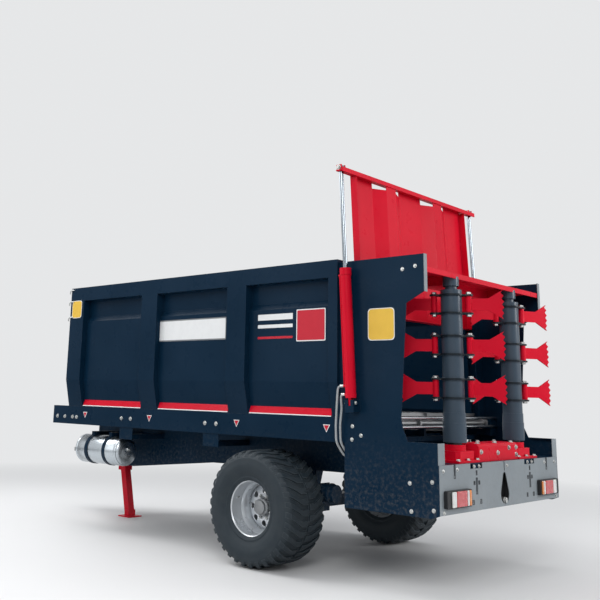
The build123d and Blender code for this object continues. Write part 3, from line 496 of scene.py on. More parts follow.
def lens(name, colour):
    """Moulded lamp lens: glossy plastic over fine ribs, a little light in its depth."""
    n = material_nodes(name)
    waves = n.add("ShaderNodeTexWave", {"Vector": n.place, "Scale": LENS_RIBS / TURN, "Distortion": 0.0},
                  bands_direction="Y").outputs["Fac"]
    patch = n.noise(30.0, 2.0)
    base = n.mix(n.ramp(waves, 0.2, 0.8), darker(colour, 0.7), colour)
    base = n.mix(n.ramp(patch, 0.4, 0.8, 0.0, 0.2), base, toward(colour, WHITE, 0.25))
    return n.finish(n.add("ShaderNodeBsdfPrincipled", {
        "Base Color": base, "Roughness": 0.12, "Coat Weight": 0.8, "Coat Roughness": 0.04,
        "Subsurface Weight": 0.15, "Subsurface Radius": (0.01, 0.004, 0.002), "Subsurface Scale": 0.02,
        "Normal": n.bump(waves, 0.25, 0.001)}))


def film(name, colour, rough=0.35):
    """Sticker film or blank plate: even colour with faint handling marks."""
    n = material_nodes(name)
    patch = n.ramp(n.noise(14.0, 6.0, 0.6), 0.4, 0.8)
    base = n.mix(n.times(patch, 0.3), colour, darker(colour, 0.8))
    return n.finish(n.add("ShaderNodeBsdfPrincipled", {
        "Base Color": base, "Roughness": n.ramp(patch, 0, 1, rough, rough + 0.15), "Coat Weight": 0.1,
        "Specular IOR Level": 0.2, "Normal": n.bump(n.noise(180.0, 2.0), 0.03, 0.0005)}))


class OBJECT_OT_spreader_finishes(bpy.types.Operator):
    """Makes every finish and gives each CAD node the one of its material slot."""

    bl_idname = "object.spreader_finishes"
    bl_label = "Finishes"

    def execute(self, context):
        s = settings()
        FINISH.update({
            "dark_paint": paint("navy paint", tuple(s.navy), 0.31, 0.02, 0.05),
            "red_paint": paint("red paint", tuple(s.red), 0.32, 0.03, 0.08, wear=0.15, dust=0.2),
            "grey_plate": paint("plate paint", tuple(s.plate_grey), 0.36, dust=0.3),
            "column_grey": paint("slate paint", tuple(s.slate), 0.36, wear=0.25),
            "bare_steel": metal("worn steel", (0.42, 0.43, 0.44), 0.34, stain=0.4),
            "chrome_rod": metal("hard chrome", (0.25, 0.28, 0.31), 0.16, stain=0.02),
            "polished_bar": metal("polished bar", (0.70, 0.73, 0.76), 0.2, (1.0, 60.0, 1.0), 0.05),
            "polished_steel": metal("polished tank", (0.56, 0.61, 0.65), 0.26, (60.0, 1.0, 1.0), 0.06),
            "rim_silver": metal("silver rim paint", tuple(s.silver), 0.3, (1, 1, 1), 0.05, metallic=0.55),
            "hub_grey": metal("cast hub", (0.30, 0.31, 0.32), 0.5, (1, 1, 1), 0.35, metallic=0.7),
            "tyre_rubber": rubber("tyre rubber", tuple(s.rubber)),
            "hose_rubber": film("pale hose jacket", (0.34, 0.36, 0.37), 0.5),
            "lamp_lens": lens("red lens", (0.55, 0.012, 0.02)),
            "amber_lens": lens("amber lens", (0.75, 0.22, 0.02)),
            "clear_lens": lens("clear lens", (0.75, 0.75, 0.74)),
            "zinc": metal("zinc bolt", (0.55, 0.56, 0.55), 0.3, (1, 1, 1), 0.15),
            "black_zinc": metal("dark bolt", (0.06, 0.065, 0.07), 0.4, (1, 1, 1), 0.1),
            "white_film": film("white film", (0.78, 0.79, 0.79)),
            "grey_film": film("grey film", (0.20, 0.21, 0.22)),
            "red_film": film("red film", (0.52, 0.012, 0.030)),
            "yellow_film": film("yellow film", (0.75, 0.47, 0.06)),
            "flange_black": paint("flange paint", (0.008, 0.014, 0.020), 0.4, 0.03, 0.14, wear=0.3),
            "black_plastic": film("black plastic", (0.02, 0.021, 0.023), 0.45),
        })
        for part in frame["record"]["subparts"]:
            node = frame["nodes"][part["node"]]
            node.data.materials.clear()
            node.data.materials.append(FINISH[part["material_slot"]])
        return {"FINISHED"}


# Wheels: radii and places across each wheel are in metres from its centre

TYRE_STEPS = 144
RIM_STEPS = 128
SIDEWALL = [(0.222, 0.205), (0.247, 0.222), (0.262, 0.2215), (0.300, 0.240), (0.345, 0.2495),
            (0.385, 0.246), (0.405, 0.2435)]
TYRE_INSIDE = [(0.222, -0.17), (0.38, -0.20), (0.41, 0.0), (0.38, 0.20), (0.222, 0.17)]
TREAD_EDGE = 0.236
TREAD_FROM_MIDDLE = 0.012

# Rim from the outer lip in and back: outside, then inside
RIM_LOOP = [(0.214, 0.196), (0.222, 0.203), (0.231, 0.2095), (0.2365, 0.207), (0.236, 0.200), (0.228, 0.196),
            (0.224, 0.190), (0.222, 0.150), (0.220, 0.110), (0.2165, 0.100), (0.2175, 0.092), (0.205, 0.072),
            (0.196, 0.055), (0.194, 0.0), (0.196, -0.055), (0.212, -0.085), (0.222, -0.10), (0.224, -0.190),
            (0.2365, -0.207), (0.231, -0.2095), (0.214, -0.196), (0.2135, -0.10), (0.190, -0.07), (0.1865, 0.0),
            (0.189, 0.050), (0.198, 0.068), (0.209, 0.086), (0.2085, 0.094), (0.2115, 0.104), (0.2135, 0.150)]
DISC_RADII = (0.070, 0.1885)
DISC_PLATE = 0.009
HAND_HOLES = 8
NUTS = 8
NUT_CIRCLE = 0.0915
NUT_FOOT = 0.0225
NUT_SIZE = 0.024
VALVE_RADIUS, VALVE_ACROSS, VALVE_ANGLE = 0.2055, 0.125, 0.35


def crown(y):
    """Radius of the tyre's carcass at a place across it: flat in the middle, falling to the shoulders."""
    share = np.abs(y) / TYRE_HALF
    return TYRE_R - settings().lug_height - 0.010 * share**2 - 0.055 * np.clip((share - 0.78) / 0.22, 0, 1) ** 2


def tyre_profile():
    """Loop of (radius, along): bead, bulging sidewall with two rings, shoulder, crown, and back inside."""
    wall = smooth_line(SIDEWALL, 6)
    across = np.linspace(TREAD_EDGE, -TREAD_EDGE, 41)
    return np.vstack([wall, np.c_[crown(across), across], wall[::-1] * (1, -1), TYRE_INSIDE])


def tread_points():
    """Blocks as bars across the crown: a slanted line y(v) with its turn angle growing outward, a
    chamfered section of six corners, and its foot sunk in the carcass. Both sides, half a pitch apart."""
    s = settings()
    v = np.array([0.0, 0.16, 0.30, 0.46, 0.62, 0.78, 0.90, 1.0])
    y = TREAD_FROM_MIDDLE + (TREAD_EDGE - TREAD_FROM_MIDDLE) * v
    slant = np.interp(v, [0, 0.30, 0.46, 1.0], [0.0, 0.002, 0.020, 0.085])
    width = np.interp(v, [0, 0.30, 0.5, 1.0], [0.054, 0.050, 0.040, 0.046])
    drop = 0.010 * np.clip((v - 0.9) / 0.1, 0, 1)
    base = crown(y) - 0.006
    top = crown(y) + s.lug_height - 0.0005 - drop
    corner_s = np.array([-0.5, -0.47, -0.40, 0.40, 0.47, 0.5])
    corner_r = np.array([0.0, 0.86, 1.0, 1.0, 0.86, 0.0])
    radius = base[:, None] + (top - base)[:, None] * corner_r
    turn = (slant[:, None] + width[:, None] * corner_s) / TYRE_R
    blocks = []
    for side in SIDES:
        start = (np.arange(s.lug_count) + (0.5 if side < 0 else 0.0)) * TURN / s.lug_count
        angle = start[:, None, None] + turn[None]
        r = np.broadcast_to(radius, angle.shape)
        across = np.broadcast_to(side * y[None, :, None], angle.shape)
        blocks.append(np.stack([r * np.cos(angle), across, r * np.sin(angle)], -1))
    return np.concatenate(blocks)


def wheel_tyre(side, name):
    """Tyre with its blocks, as one piece for each wheel."""
    centre = np.array([AXLE_X, side * WHEEL_Y, WHEEL_Z])
    carcass = turned_points(tyre_profile(), TYRE_STEPS, centre)
    blocks = tread_points() * (1, side, -1) + centre
    parts = [(carcass, grid_faces(len(carcass), TYRE_STEPS, True, True))]
    parts += [(block, sleeve_faces(*block.shape[:2])) for block in blocks]
    piece = new_piece(f"treaded_tyre_{name}", *joined(parts), f"wheel_{name}", "tyre_rubber", angle=30.0)
    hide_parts(f"tyre_{name}")


def disc_sector_points(depth):
    """Dished disc with hand holes: each sector is a grid from the hole's oval to the sector's own
    outline, so a point is a blend of the two by v, and its depth follows its radius."""
    inner, outer = DISC_RADII
    t = np.linspace(0, TURN, 48, endpoint=False)
    half = math.pi / HAND_HOLES
    sector = np.stack([half * np.clip(1.42 * np.cos(t), -1, 1),
                       0.5 + 0.5 * np.clip(1.42 * np.sin(t), -1, 1)], -1)
    oval = np.stack([0.46 * half * np.cos(t), 0.54 + 0.22 * np.sin(t)], -1)
    v = np.array([0.0, 0.12, 0.35, 0.65, 1.0])[:, None, None]
    cell = oval[None] + (sector - oval)[None] * v
    angle = cell[..., 0][None] + (np.arange(HAND_HOLES) * 2 * half)[:, None, None]
    share = np.broadcast_to(cell[..., 1], angle.shape)
    radius = inner + (outer - inner) * share
    return np.stack([radius * np.cos(angle), depth(share), radius * np.sin(angle)], -1)


def wheel_disc(side, name, centre):
    """Dished disc: its sectors are sewn together, turned to face outward and given a thickness."""

    def depth(share):
        return side * (0.024 - 0.003 * np.cos(share * 6.3) - 0.026 * np.clip((share - 0.45) / 0.55, 0, 1) ** 2)

    cells = disc_sector_points(depth) + centre
    faces = grid_faces(*cells.shape[1:3], False, True)
    disc = new_piece(f"rim_disc_{name}", *joined((cell, faces) for cell in cells), f"wheel_{name}",
                     "rim_silver", angle=30.0)
    work = bmesh.new()
    work.from_mesh(disc.data)
    bmesh.ops.remove_doubles(work, verts=work.verts, dist=2e-4)
    for face in work.faces:
        if face.normal.y * side < 0:
            face.normal_flip()
    work.to_mesh(disc.data)
    work.free()
    wall = disc.modifiers.new("wall", "SOLIDIFY")
    wall.thickness = DISC_PLATE
    wall.offset = -1.0


def wheel_rim(side, name):
    """Stepped rim barrel with rolled lips, its disc, wheel nuts on their studs, and the valve."""
    body = f"wheel_{name}"
    centre = (AXLE_X, side * WHEEL_Y, WHEEL_Z)
    barrel = turned_piece(f"rim_barrel_{name}", np.array(RIM_LOOP) * (1, side), RIM_STEPS, centre, "y", body,
                          "rim_silver", 24.0)
    wheel_disc(side, name, centre)
    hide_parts(f"wheel_rim_{name}")

    turn = np.arange(NUTS) * TURN / NUTS + math.pi / NUTS
    places = np.stack([NUT_CIRCLE * np.cos(turn), np.full(NUTS, side * NUT_FOOT),
                       NUT_CIRCLE * np.sin(turn)], -1) + centre
    nut = joined([ring_stack(6, [(0.52, 0.0), (0.577, 0.06), (0.577, 0.7), (0.5, 0.8), (0.30, 0.81)]),
                  ring_stack(12, [(0.29, 0.5), (0.29, 1.1), (0.24, 1.16)])])
    new_piece(f"wheel_nuts_{name}", *scattered(nut, places, np.tile([0, side, 0], (NUTS, 1)), NUT_SIZE),
              body, "bare_steel", "zinc")
    valve = ring_stack(12, [(0.0045, 0.0), (0.0045, 0.026), (0.006, 0.027), (0.006, 0.04), (0.004, 0.043)])
    place = np.array([[VALVE_RADIUS * math.cos(VALVE_ANGLE), side * VALVE_ACROSS,
                       VALVE_RADIUS * math.sin(VALVE_ANGLE)]]) + centre
    new_piece(f"tyre_valve_{name}", *scattered(valve, place, [[-0.25, side, -0.1]]), body, "bare_steel", "zinc")


class OBJECT_OT_spreader_wheels(bpy.types.Operator):
    """Both wheels: treaded tyres, stepped rims with hand holes, nuts and valves."""

    bl_idname = "object.spreader_wheels"
    bl_label = "Wheels"

    def execute(self, context):
        for side, name in ((1, "left"), (-1, "right")):
            wheel_tyre(side, name)
            wheel_rim(side, name)
        return {"FINISHED"}


# Air tank

TANK_DOME = 0.034
TANK_BOSS = [(0.021, -0.012), (0.021, 0.010), (0.018, 0.013), (0.012, 0.013), (0.012, 0.034), (0.008, 0.036)]
BOSS_OFF_MIDDLE = 0.02


class OBJECT_OT_spreader_tank(bpy.types.Operator):
    """Polished air tank: spun body with domed ends, weld rings and fittings."""

    bl_idname = "object.spreader_tank"
    bl_label = "Air tank"

    def execute(self, context):
        low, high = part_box("air_tank")
        middle = (low + high) / 2
        radius, half = (high.z - low.z) / 2, (high.x - low.x) / 2
        turn = np.linspace(0, math.pi / 2, 20)
        dome = np.c_[radius * 0.93 * np.sin(turn) ** 0.8, half - TANK_DOME + TANK_DOME * np.cos(turn) ** 1.2]
        seam = [(radius * 0.97, half - 0.036), (radius, half - 0.044), (radius, half - 0.062),
                (radius - 0.003, half - 0.066), (radius, half - 0.070)]
        right = np.vstack([dome, seam])
        profile = np.vstack([right, right[::-1] * (1, -1)])
        profile[0, 0] = profile[-1, 0] = 0.0
        tank = turned_piece("polished_tank", profile, 96, middle, "x", "chassis", "polished_steel", 40.0)
        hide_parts("air_tank")
        places = [(low.x + 0.004, middle.y, middle.z + BOSS_OFF_MIDDLE),
                  (high.x - 0.004, middle.y, middle.z - BOSS_OFF_MIDDLE)]
        new_piece("tank_fittings", *scattered(ring_stack(20, TANK_BOSS), places, [(-1, 0, 0), (1, 0, 0)]),
                  "chassis", "bare_steel", "zinc")
        return {"FINISHED"}


# Lamps, plates and stripes

LAMP_Y = 0.7825
LAMP_WIDTH = 0.365
LENS_DEPTH = 0.012
LENS_MARGIN = 0.014

# Fields of a lamp as name, finish, width, offset from the lamp's middle
LENS_FIELDS = (
    ("lamp_lens_red", "lamp_lens", 0.150, -0.020),
    ("lamp_lens_clear", "clear_lens", 0.062, 0.092),
    ("lamp_lens_end", "clear_lens", 0.026, -0.115),
    ("lamp_lens_amber", "amber_lens", 0.030, -0.148),
)


class OBJECT_OT_spreader_lamps(bpy.types.Operator):
    """Tail lamps: dark housing, and red, clear and amber fields of its lens."""

    bl_idname = "object.spreader_lamps"
    bl_label = "Tail lamps"

    def execute(self, context):
        low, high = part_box("tail_lamps")
        height, middle = high.z - low.z, (low.z + high.z) / 2

        def spots(x, offset):
            return [((x, side * (LAMP_Y + offset), middle), (0, -1, 0), (0, 0, 1)) for side in SIDES]

        case = flat_panels("lamp_housings", rounded_rectangle(LAMP_WIDTH, height, 0.014), spots(high.x, 0.0),
                           high.x - low.x - LENS_DEPTH, "chassis", "lamp_lens", "black_plastic")
        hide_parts("tail_lamps")
        for name, finish, width, offset in LENS_FIELDS:
            piece = flat_panels(name, rounded_rectangle(width, height - LENS_MARGIN, 0.010),
                                spots(low.x + LENS_DEPTH, offset), 0.010, "chassis", "lamp_lens", finish)
            round_edges(piece, 0.004)
        return {"FINISHED"}


# Thickness of film, and how far the lower and the upper film of a pair lie off the sheet
FILM = 0.0012
LOWER, UPPER = 0.0006, 0.0016

# Small reflectors along the sill
REFLECTORS_X = (2.550, 1.512, 0.332, -0.669)
REFLECTOR_Z = 1.156
REFLECTOR = np.array([(0.0, -0.040), (0.036, 0.022), (-0.036, 0.022)])

# Plates on the panels as name, finish, X, Z, width, height, corner, lift
PANEL_PLATES = (
    ("name_plate_rim", "grey_film", 0.962, 1.996, 0.955, 0.208, 0.012, LOWER),
    ("name_plate", "white_film", 0.962, 1.996, 0.930, 0.184, 0.008, UPPER),
    ("square_rim", "white_film", -0.503, 1.989, 0.312, 0.272, 0.010, LOWER),
    ("square", "red_film", -0.503, 1.989, 0.294, 0.254, 0.008, UPPER),
    ("stripe_high", "white_film", -0.105, 2.072, 0.400, 0.052, 0.004, LOWER),
    ("stripe_middle", "white_film", -0.105, 1.992, 0.400, 0.030, 0.004, LOWER),
    ("stripe_low", "red_film", -0.105, 1.893, 0.400, 0.020, 0.004, LOWER),
)

# Hooks at the front post: heights, and path as X, distance off the post, height
HOOK_HEIGHTS = (2.480, 2.350, 2.180)
HOOK_PATH = ((2.800, 0.002, 0.012), (2.845, 0.006, 0.012), (2.872, 0.006, 0.0), (2.872, 0.006, -0.030))

# Red strips at the panels' feet as rear and front end, and the pale line along the foot of each, a painted
# highlight of the sill's top edge: middle, half its height, and the direction up the slope of the wall
STRIPS = ((1.656, 2.602), (0.448, 1.394), (-0.715, 0.186))
HIGHLIGHT_LINE_Y, HIGHLIGHT_LINE_Z = 0.9989, 1.2445
HIGHLIGHT_LINE_HALF = 0.004
WALL_SLOPE = np.array([0.0, -0.028, 0.072])


def side_spots(places_x, y, z):
    """Places for upright plates on both sides of the body, given from the axle."""
    return [((at(x), side * y, z), (-side, 0, 0), (0, 0, 1)) for side in SIDES for x in places_x]


class OBJECT_OT_spreader_plates(bpy.types.Operator):
    """Blank plates, plain stripes, hooks, small triangular reflectors on the body sides, and a pale line along the
    foot of each red strip as a painted highlight.
    """

    bl_idname = "object.spreader_plates"
    bl_label = "Plates and stripes"

    def execute(self, context):
        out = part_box("sills")[1].y
        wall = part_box("side_panel_left")[1].y
        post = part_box("side_frame_left")[1].y
        for name, scale, lift, finish in (("side_triangles_rim", 1.0, 0.0005, "white_film"),
                                          ("side_triangles", 0.72, 0.0015, "red_film")):
            flat_panels(name, REFLECTOR * scale, side_spots(REFLECTORS_X, out + lift, REFLECTOR_Z), FILM,
                        "chassis", "red_paint", finish)
        for name, finish, x, z, width, height, corner, lift in PANEL_PLATES:
            flat_panels(name, rounded_rectangle(width, height, corner), side_spots((x,), wall + lift, z), FILM,
                        "chassis", "rim_silver", finish)
        hooks = [rounded_path([(at(x), side * (post + off), z + rise) for x, off, rise in HOOK_PATH], 0.012)
                 for side in SIDES for z in HOOK_HEIGHTS]
        tubes("front_hooks", hooks, 0.006, 10, "chassis", "bare_steel", "zinc")
        for name, x, y, z, width, height in (("cheek_plate_blank", -1.222, CHEEK_OUT, 1.965, 0.235, 0.240),
                                             ("post_plate_blank", 2.735, post, 2.275, 0.160, 0.180)):
            for layer, grow, lift, finish in (("rim", 0.012, LOWER, "white_film"),
                                              ("face", 0.0, UPPER, "yellow_film")):
                flat_panels(f"{name}_{layer}", rounded_rectangle(width + grow, height + grow, 0.03),
                            side_spots((x,), y + lift, z), FILM, "chassis", "rim_silver", finish)
        # painted highlight: a white film line along the foot of each red strip stands in for the glint on the
        # sill's top edge
        for k, (rear, front) in enumerate(STRIPS):
            x, y = (front - rear) / 2, HIGHLIGHT_LINE_HALF
            spots = [((at((rear + front) / 2), side * HIGHLIGHT_LINE_Y, HIGHLIGHT_LINE_Z), (-side, 0, 0),
                      WALL_SLOPE * (1, side, 1)) for side in SIDES]
            flat_panels(f"strip_highlight_line_{k}", [(-x, -y), (x, -y), (x, y), (-x, y)], spots, FILM, "chassis",
                        "rim_silver", "white_film")
        return {"FINISHED"}


# Fasteners of the sides as X and Z: front end of the sill, over its brackets, and the shields

SILL_ENDS = tuple((x, 1.121) for x in (3.049, 2.912, 2.773, 2.701))
SILL_BRACKETS = tuple((x + dx, 1.134) for x in (1.87, 0.66) for dx in (-0.072, 0.072))
SHIELD_BOLTS = ((-1.459, 0.790), (-1.646, 0.812), (-1.469, 0.594), (-1.654, 0.617), (-1.422, 2.383),
                (-1.536, 2.399), (-0.946, 1.176), (-1.027, 1.109), (-0.941, 1.075))


def bolt_group(name, places, size, body):
    """Hexagon bolts with washers: places are (point, outward direction)."""
    points, normals = zip(*places)
    return new_piece(name, *scattered(hex_bolt(), points, normals, size), body, "bare_steel", "zinc", 30.0)


class OBJECT_OT_spreader_bolts(bpy.types.Operator):
    """Bolts along the sills and on the shields."""

    bl_idname = "object.spreader_bolts"
    bl_label = "Bolts"

    def execute(self, context):
        size = settings().bolt_size
        sill_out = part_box("sills")[1].y
        for name, out, places, scale in (("sill_bolts", sill_out, SILL_ENDS + SILL_BRACKETS, 1.0),
                                         ("shield_bolts", CHEEK_OUT, SHIELD_BOLTS, 0.8)):
            bolts = [((at(x), side * out, z), (0, side, 0)) for side in SIDES for x, z in places]
            bolt_group(name, bolts, size * scale, "chassis")
        return {"FINISHED"}


# Beaters: body, side and turn of each rotor, then its flanges, pins and top bearing sleeve

ROTORS = (("beater_left", 1, 29.0), ("beater_right", -1, 62.0))
LUG_RADIUS = 0.135
LUG_ROUND = 0.0355
FLANGE_R = 0.1015
FLANGE_MIDDLE = 0.073
FLANGE_PLATE = 0.0136
FLANGE_OUT = 0.079
PIN_HEAD = 0.036
WELD_RADIUS, WELD_THICKNESS, WELD_LIFT = 0.0855, 0.0045, 0.002
TOP_SLEEVE = [(0.0610, 2.296), (0.0640, 2.298), (0.0640, 2.372), (0.0610, 2.372)]


def flange_outline(turn):
    """Round plate with a lug on each side, turned by an angle: lug arcs joined to arcs of the disc."""
    foot = math.asin(LUG_ROUND / FLANGE_R)
    tip = np.linspace(-math.pi / 2, math.pi / 2, 14)
    rim = np.linspace(foot, math.pi - foot, 22)
    half = np.vstack([np.c_[LUG_RADIUS + LUG_ROUND * np.cos(tip), LUG_ROUND * np.sin(tip)],
                      np.c_[FLANGE_R * np.cos(rim), FLANGE_R * np.sin(rim)]])
    x, y = np.vstack([half, -half]).T
    return np.stack([x * math.cos(turn) - y * math.sin(turn), x * math.sin(turn) + y * math.cos(turn)], -1)


class OBJECT_OT_spreader_beaters(bpy.types.Operator):
    """Lobed flanges of the beaters with their pins and weld beads, and a sleeve round each top bearing."""

    bl_idname = "object.spreader_beaters"
    bl_label = "Beaters"

    def execute(self, context):
        for body, side, degrees in ROTORS:
            phase = math.radians(degrees)
            axis_x, axis_y = at(BEATER_X), side * BEATER_Y
            pins = []
            for z in LEVELS:
                for angle in (phase, phase + math.pi):
                    x = axis_x + LUG_RADIUS * math.cos(angle)
                    y = axis_y + LUG_RADIUS * math.sin(angle)
                    pins += [((x, y, z + end * FLANGE_OUT), (0, 0, end)) for end in SIDES]
            bolt_group(f"{body}_pins", pins, PIN_HEAD, body)
            plates = [((axis_x, axis_y, z + end * FLANGE_MIDDLE - FLANGE_PLATE / 2), (1, 0, 0), (0, 1, 0))
                      for z in LEVELS for end in (-1, 1)]
            flat_panels(f"{body}_flanges", flange_outline(phase), plates, FLANGE_PLATE, body, "column_grey",
                        "flange_black")
            centres = [(axis_x, axis_y, z + end * (FLANGE_OUT + WELD_LIFT)) for z in LEVELS for end in (-1, 1)]
            beads(f"{body}_welds", centres, WELD_RADIUS, WELD_THICKNESS, body, "column_grey")
            turned_piece(f"{body}_top_housing", TOP_SLEEVE, 40, (axis_x, axis_y, 0.0), "z", "chassis",
                         "column_grey")
        return {"FINISHED"}


# Hydraulics, given from the axle

# Cylinder's place and top end; height, half length and head of the foot's pin and of the rod's pin
CYL_X, CYL_Y = -0.920, 1.092
CYL_TOP = 2.420
FOOT_PIN_Z, FOOT_PIN_HALF, FOOT_PIN_HEAD = 1.352, 0.044, 0.022
ROD_PIN_Z, ROD_PIN_HALF, ROD_PIN_HEAD = 3.276, 0.0345, 0.026
GLAND_RADIUS = 0.0475
GLAND_STEPS = (-0.055, -0.050, -0.004, 0.002)

# Hose routes: port, bend, drop, low, lower still, inward bend, and the end in the block
HOSE_ROUTES = (
    ((-0.907, 1.092, 1.484), (-0.852, 1.092, 1.481), (-0.849, 1.100, 1.375), (-0.832, 1.094, 1.190),
     (-0.829, 1.084, 1.050), (-0.831, 0.990, 0.950), (-0.945, 0.984, 0.905)),
    ((-0.919, 1.092, 1.418), (-0.879, 1.092, 1.416), (-0.876, 1.076, 1.308), (-0.856, 1.070, 1.190),
     (-0.853, 1.060, 1.050), (-0.855, 0.966, 0.950), (-0.945, 0.960, 0.905)),
)
HOSE_RADIUS, HOSE_BEND = 0.0088, 0.035
HOSE_END_RADIUS, HOSE_END_LENGTH = 0.0125, 0.030
HOSE_BLOCK = ((-0.979, 0.950, 0.883), (-0.945, 1.022, 0.927))


def sided_box(low, high, side):
    """Block on one side of the body from its corners on the left, given from the axle."""
    across = sorted((side * low[1], side * high[1]))
    return (at(low[0]), across[0], low[2]), (at(high[0]), across[1], high[2])


class OBJECT_OT_spreader_hydraulics(bpy.types.Operator):
    """Round hoses with crimped ends, cylinder glands and pin heads."""

    bl_idname = "object.spreader_hydraulics"
    bl_label = "Hydraulics"

    def execute(self, context):
        lines, ends = [], []
        for side in SIDES:
            for points in HOSE_ROUTES:
                route = rounded_path([(at(x), side * y, z) for x, y, z in points], HOSE_BEND)
                lines.append(route)
                ends.append([route[0] + (-0.002, 0, 0), route[0] + (HOSE_END_LENGTH, 0, -0.001)])
                ends.append([route[-1], route[-1] + (HOSE_END_LENGTH, 0, 0.011)])
        hoses = tubes("round_hoses", lines, HOSE_RADIUS, 14, "chassis", "hose_rubber")
        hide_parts("cylinder_hoses")
        blocks = boxes("hose_blocks", [sided_box(*HOSE_BLOCK, side) for side in SIDES], "chassis", "dark_paint")
        round_edges(blocks, 0.003)
        tubes("hose_ends", ends, HOSE_END_RADIUS, 14, "chassis", "bare_steel", "zinc")

        glands, foot_pins, rod_pins = [], [], []
        way = np.array([math.sin(LEAN), 0.0, math.cos(LEAN)])
        square = np.array([math.cos(LEAN), 0.0, -math.sin(LEAN)])
        for side in SIDES:
            top, foot, rod = (np.array(leaned(CYL_X, side * CYL_Y, z)) for z in (CYL_TOP, FOOT_PIN_Z, ROD_PIN_Z))
            glands.append([top + way * step for step in GLAND_STEPS])
            foot_pins += [(foot + square * end * FOOT_PIN_HALF, square * end) for end in SIDES]
            rod_pins += [(rod + (0, end * ROD_PIN_HALF, 0), (0, end, 0)) for end in SIDES]
        tubes("cylinder_glands", glands, GLAND_RADIUS, 28, "chassis", "red_paint")
        bolt_group("cylinder_pins", foot_pins, FOOT_PIN_HEAD, "chassis")
        bolt_group("rod_pins", rod_pins, ROD_PIN_HEAD, "gate")
        return {"FINISHED"}


# Rear deck and rear plate

# Bolts on the rear face of the drive housing as Y and height above the deck; on its top and on the feet
# of the gearboxes as distances from the beaters' axes
HOUSING_BOLTS = ((0.305, 0.075), (0.022, 0.062), (-0.175, 0.098), (-0.305, 0.040), (-0.305, 0.098))
HOUSING_TOP_BOLTS = tuple((dx, y) for dx in (-0.075, 0.075) for y in (-0.29, 0.0, 0.29))
FOOT_BOLTS = tuple((dx, dy) for dx in (-0.108, 0.108) for dy in (-0.150, 0.0, 0.150))
FOOT_PLATE = 0.018
DECK_BOLT = 0.024
SEAL_RADIUS, SEAL_STEPS = 0.052, (1.060, 1.064, 1.070, 1.0735)

# Bright bars across the rear end of the floor
END_BAR_X, END_BAR_HALF, END_BAR_RADIUS = -1.140, 1.022, 0.014
END_BARS_Z = (1.246, 1.172)

# Box behind the rear plate's opening, as corners from the plate's face, and the stub in it
COUPLING_BOX = (((0.050, -0.095, 0.600), (0.056, 0.095, 0.860)), ((0.008, -0.095, 0.594), (0.056, 0.095, 0.600)),
                ((0.008, -0.101, 0.594), (0.056, -0.095, 0.860)), ((0.008, 0.095, 0.594), (0.056, 0.101, 0.860)))
STUB_Z, STUB_STEPS = 0.628, (0.050, 0.004, 0.0, -0.010, -0.012)
STUB_RADII = (0.024, 0.024, 0.020, 0.020, 0.014)

# Slots of the rear plate's left half as Y, Z, width, height, and the dark edge round each
SLOTS = ((0.800, 0.880, 0.018, 0.092), (0.465, 0.762, 0.020, 0.114), (0.427, 0.785, 0.018, 0.022),
         (0.503, 0.785, 0.018, 0.022), (0.465, 0.858, 0.014, 0.028), (0.405, 0.645, 0.020, 0.026),
         (0.525, 0.645, 0.020, 0.026))
SLOT_RIM, SLOT_LIFT = 0.004, 0.0012

# Folded edges of the shields' low and high parts, as corners on the left: pale grey covers on their rear-facing
# faces, a painted highlight of the light from the rear
FOLD_HIGHLIGHTS = (((DECK_REAR - SLOT_LIFT, 0.9395, DECK_TOP + 0.001), (DECK_REAR + 0.003, 1.0305, 1.0855)),
         ((-1.6152, 0.9875, 2.1995), (-1.611, 1.0305, CHEEK_TOP + 0.0005)))

# Bolts of the rear plate as Y and Z: those on both halves, and the single one near the middle
PLATE_BOLTS = ((0.505, 0.906), (0.425, 0.906), (0.760, 0.893), (0.965, 0.890), (0.965, 0.600))
ODD_PLATE_BOLT = (-0.045, 0.893)
PLATE_BOLT = 0.018


def slot_edges(face):
    """Four thin bars round each slot of the rear plate: below, above and at both sides."""
    spans = []
    for side in SIDES:
        for y, z, width, height in SLOTS:
            y, w, h = side * y, width / 2, height / 2
            for low, high in (((y - w - SLOT_RIM, z - h - SLOT_RIM), (y + w + SLOT_RIM, z - h + 0.001)),
                              ((y - w - SLOT_RIM, z + h - 0.001), (y + w + SLOT_RIM, z + h + SLOT_RIM)),
                              ((y - w - SLOT_RIM, z - h), (y - w + 0.002, z + h)),
                              ((y + w - 0.002, z - h), (y + w + SLOT_RIM, z + h))):
                spans.append(((face - SLOT_LIFT, *low), (face, *high)))
    return spans


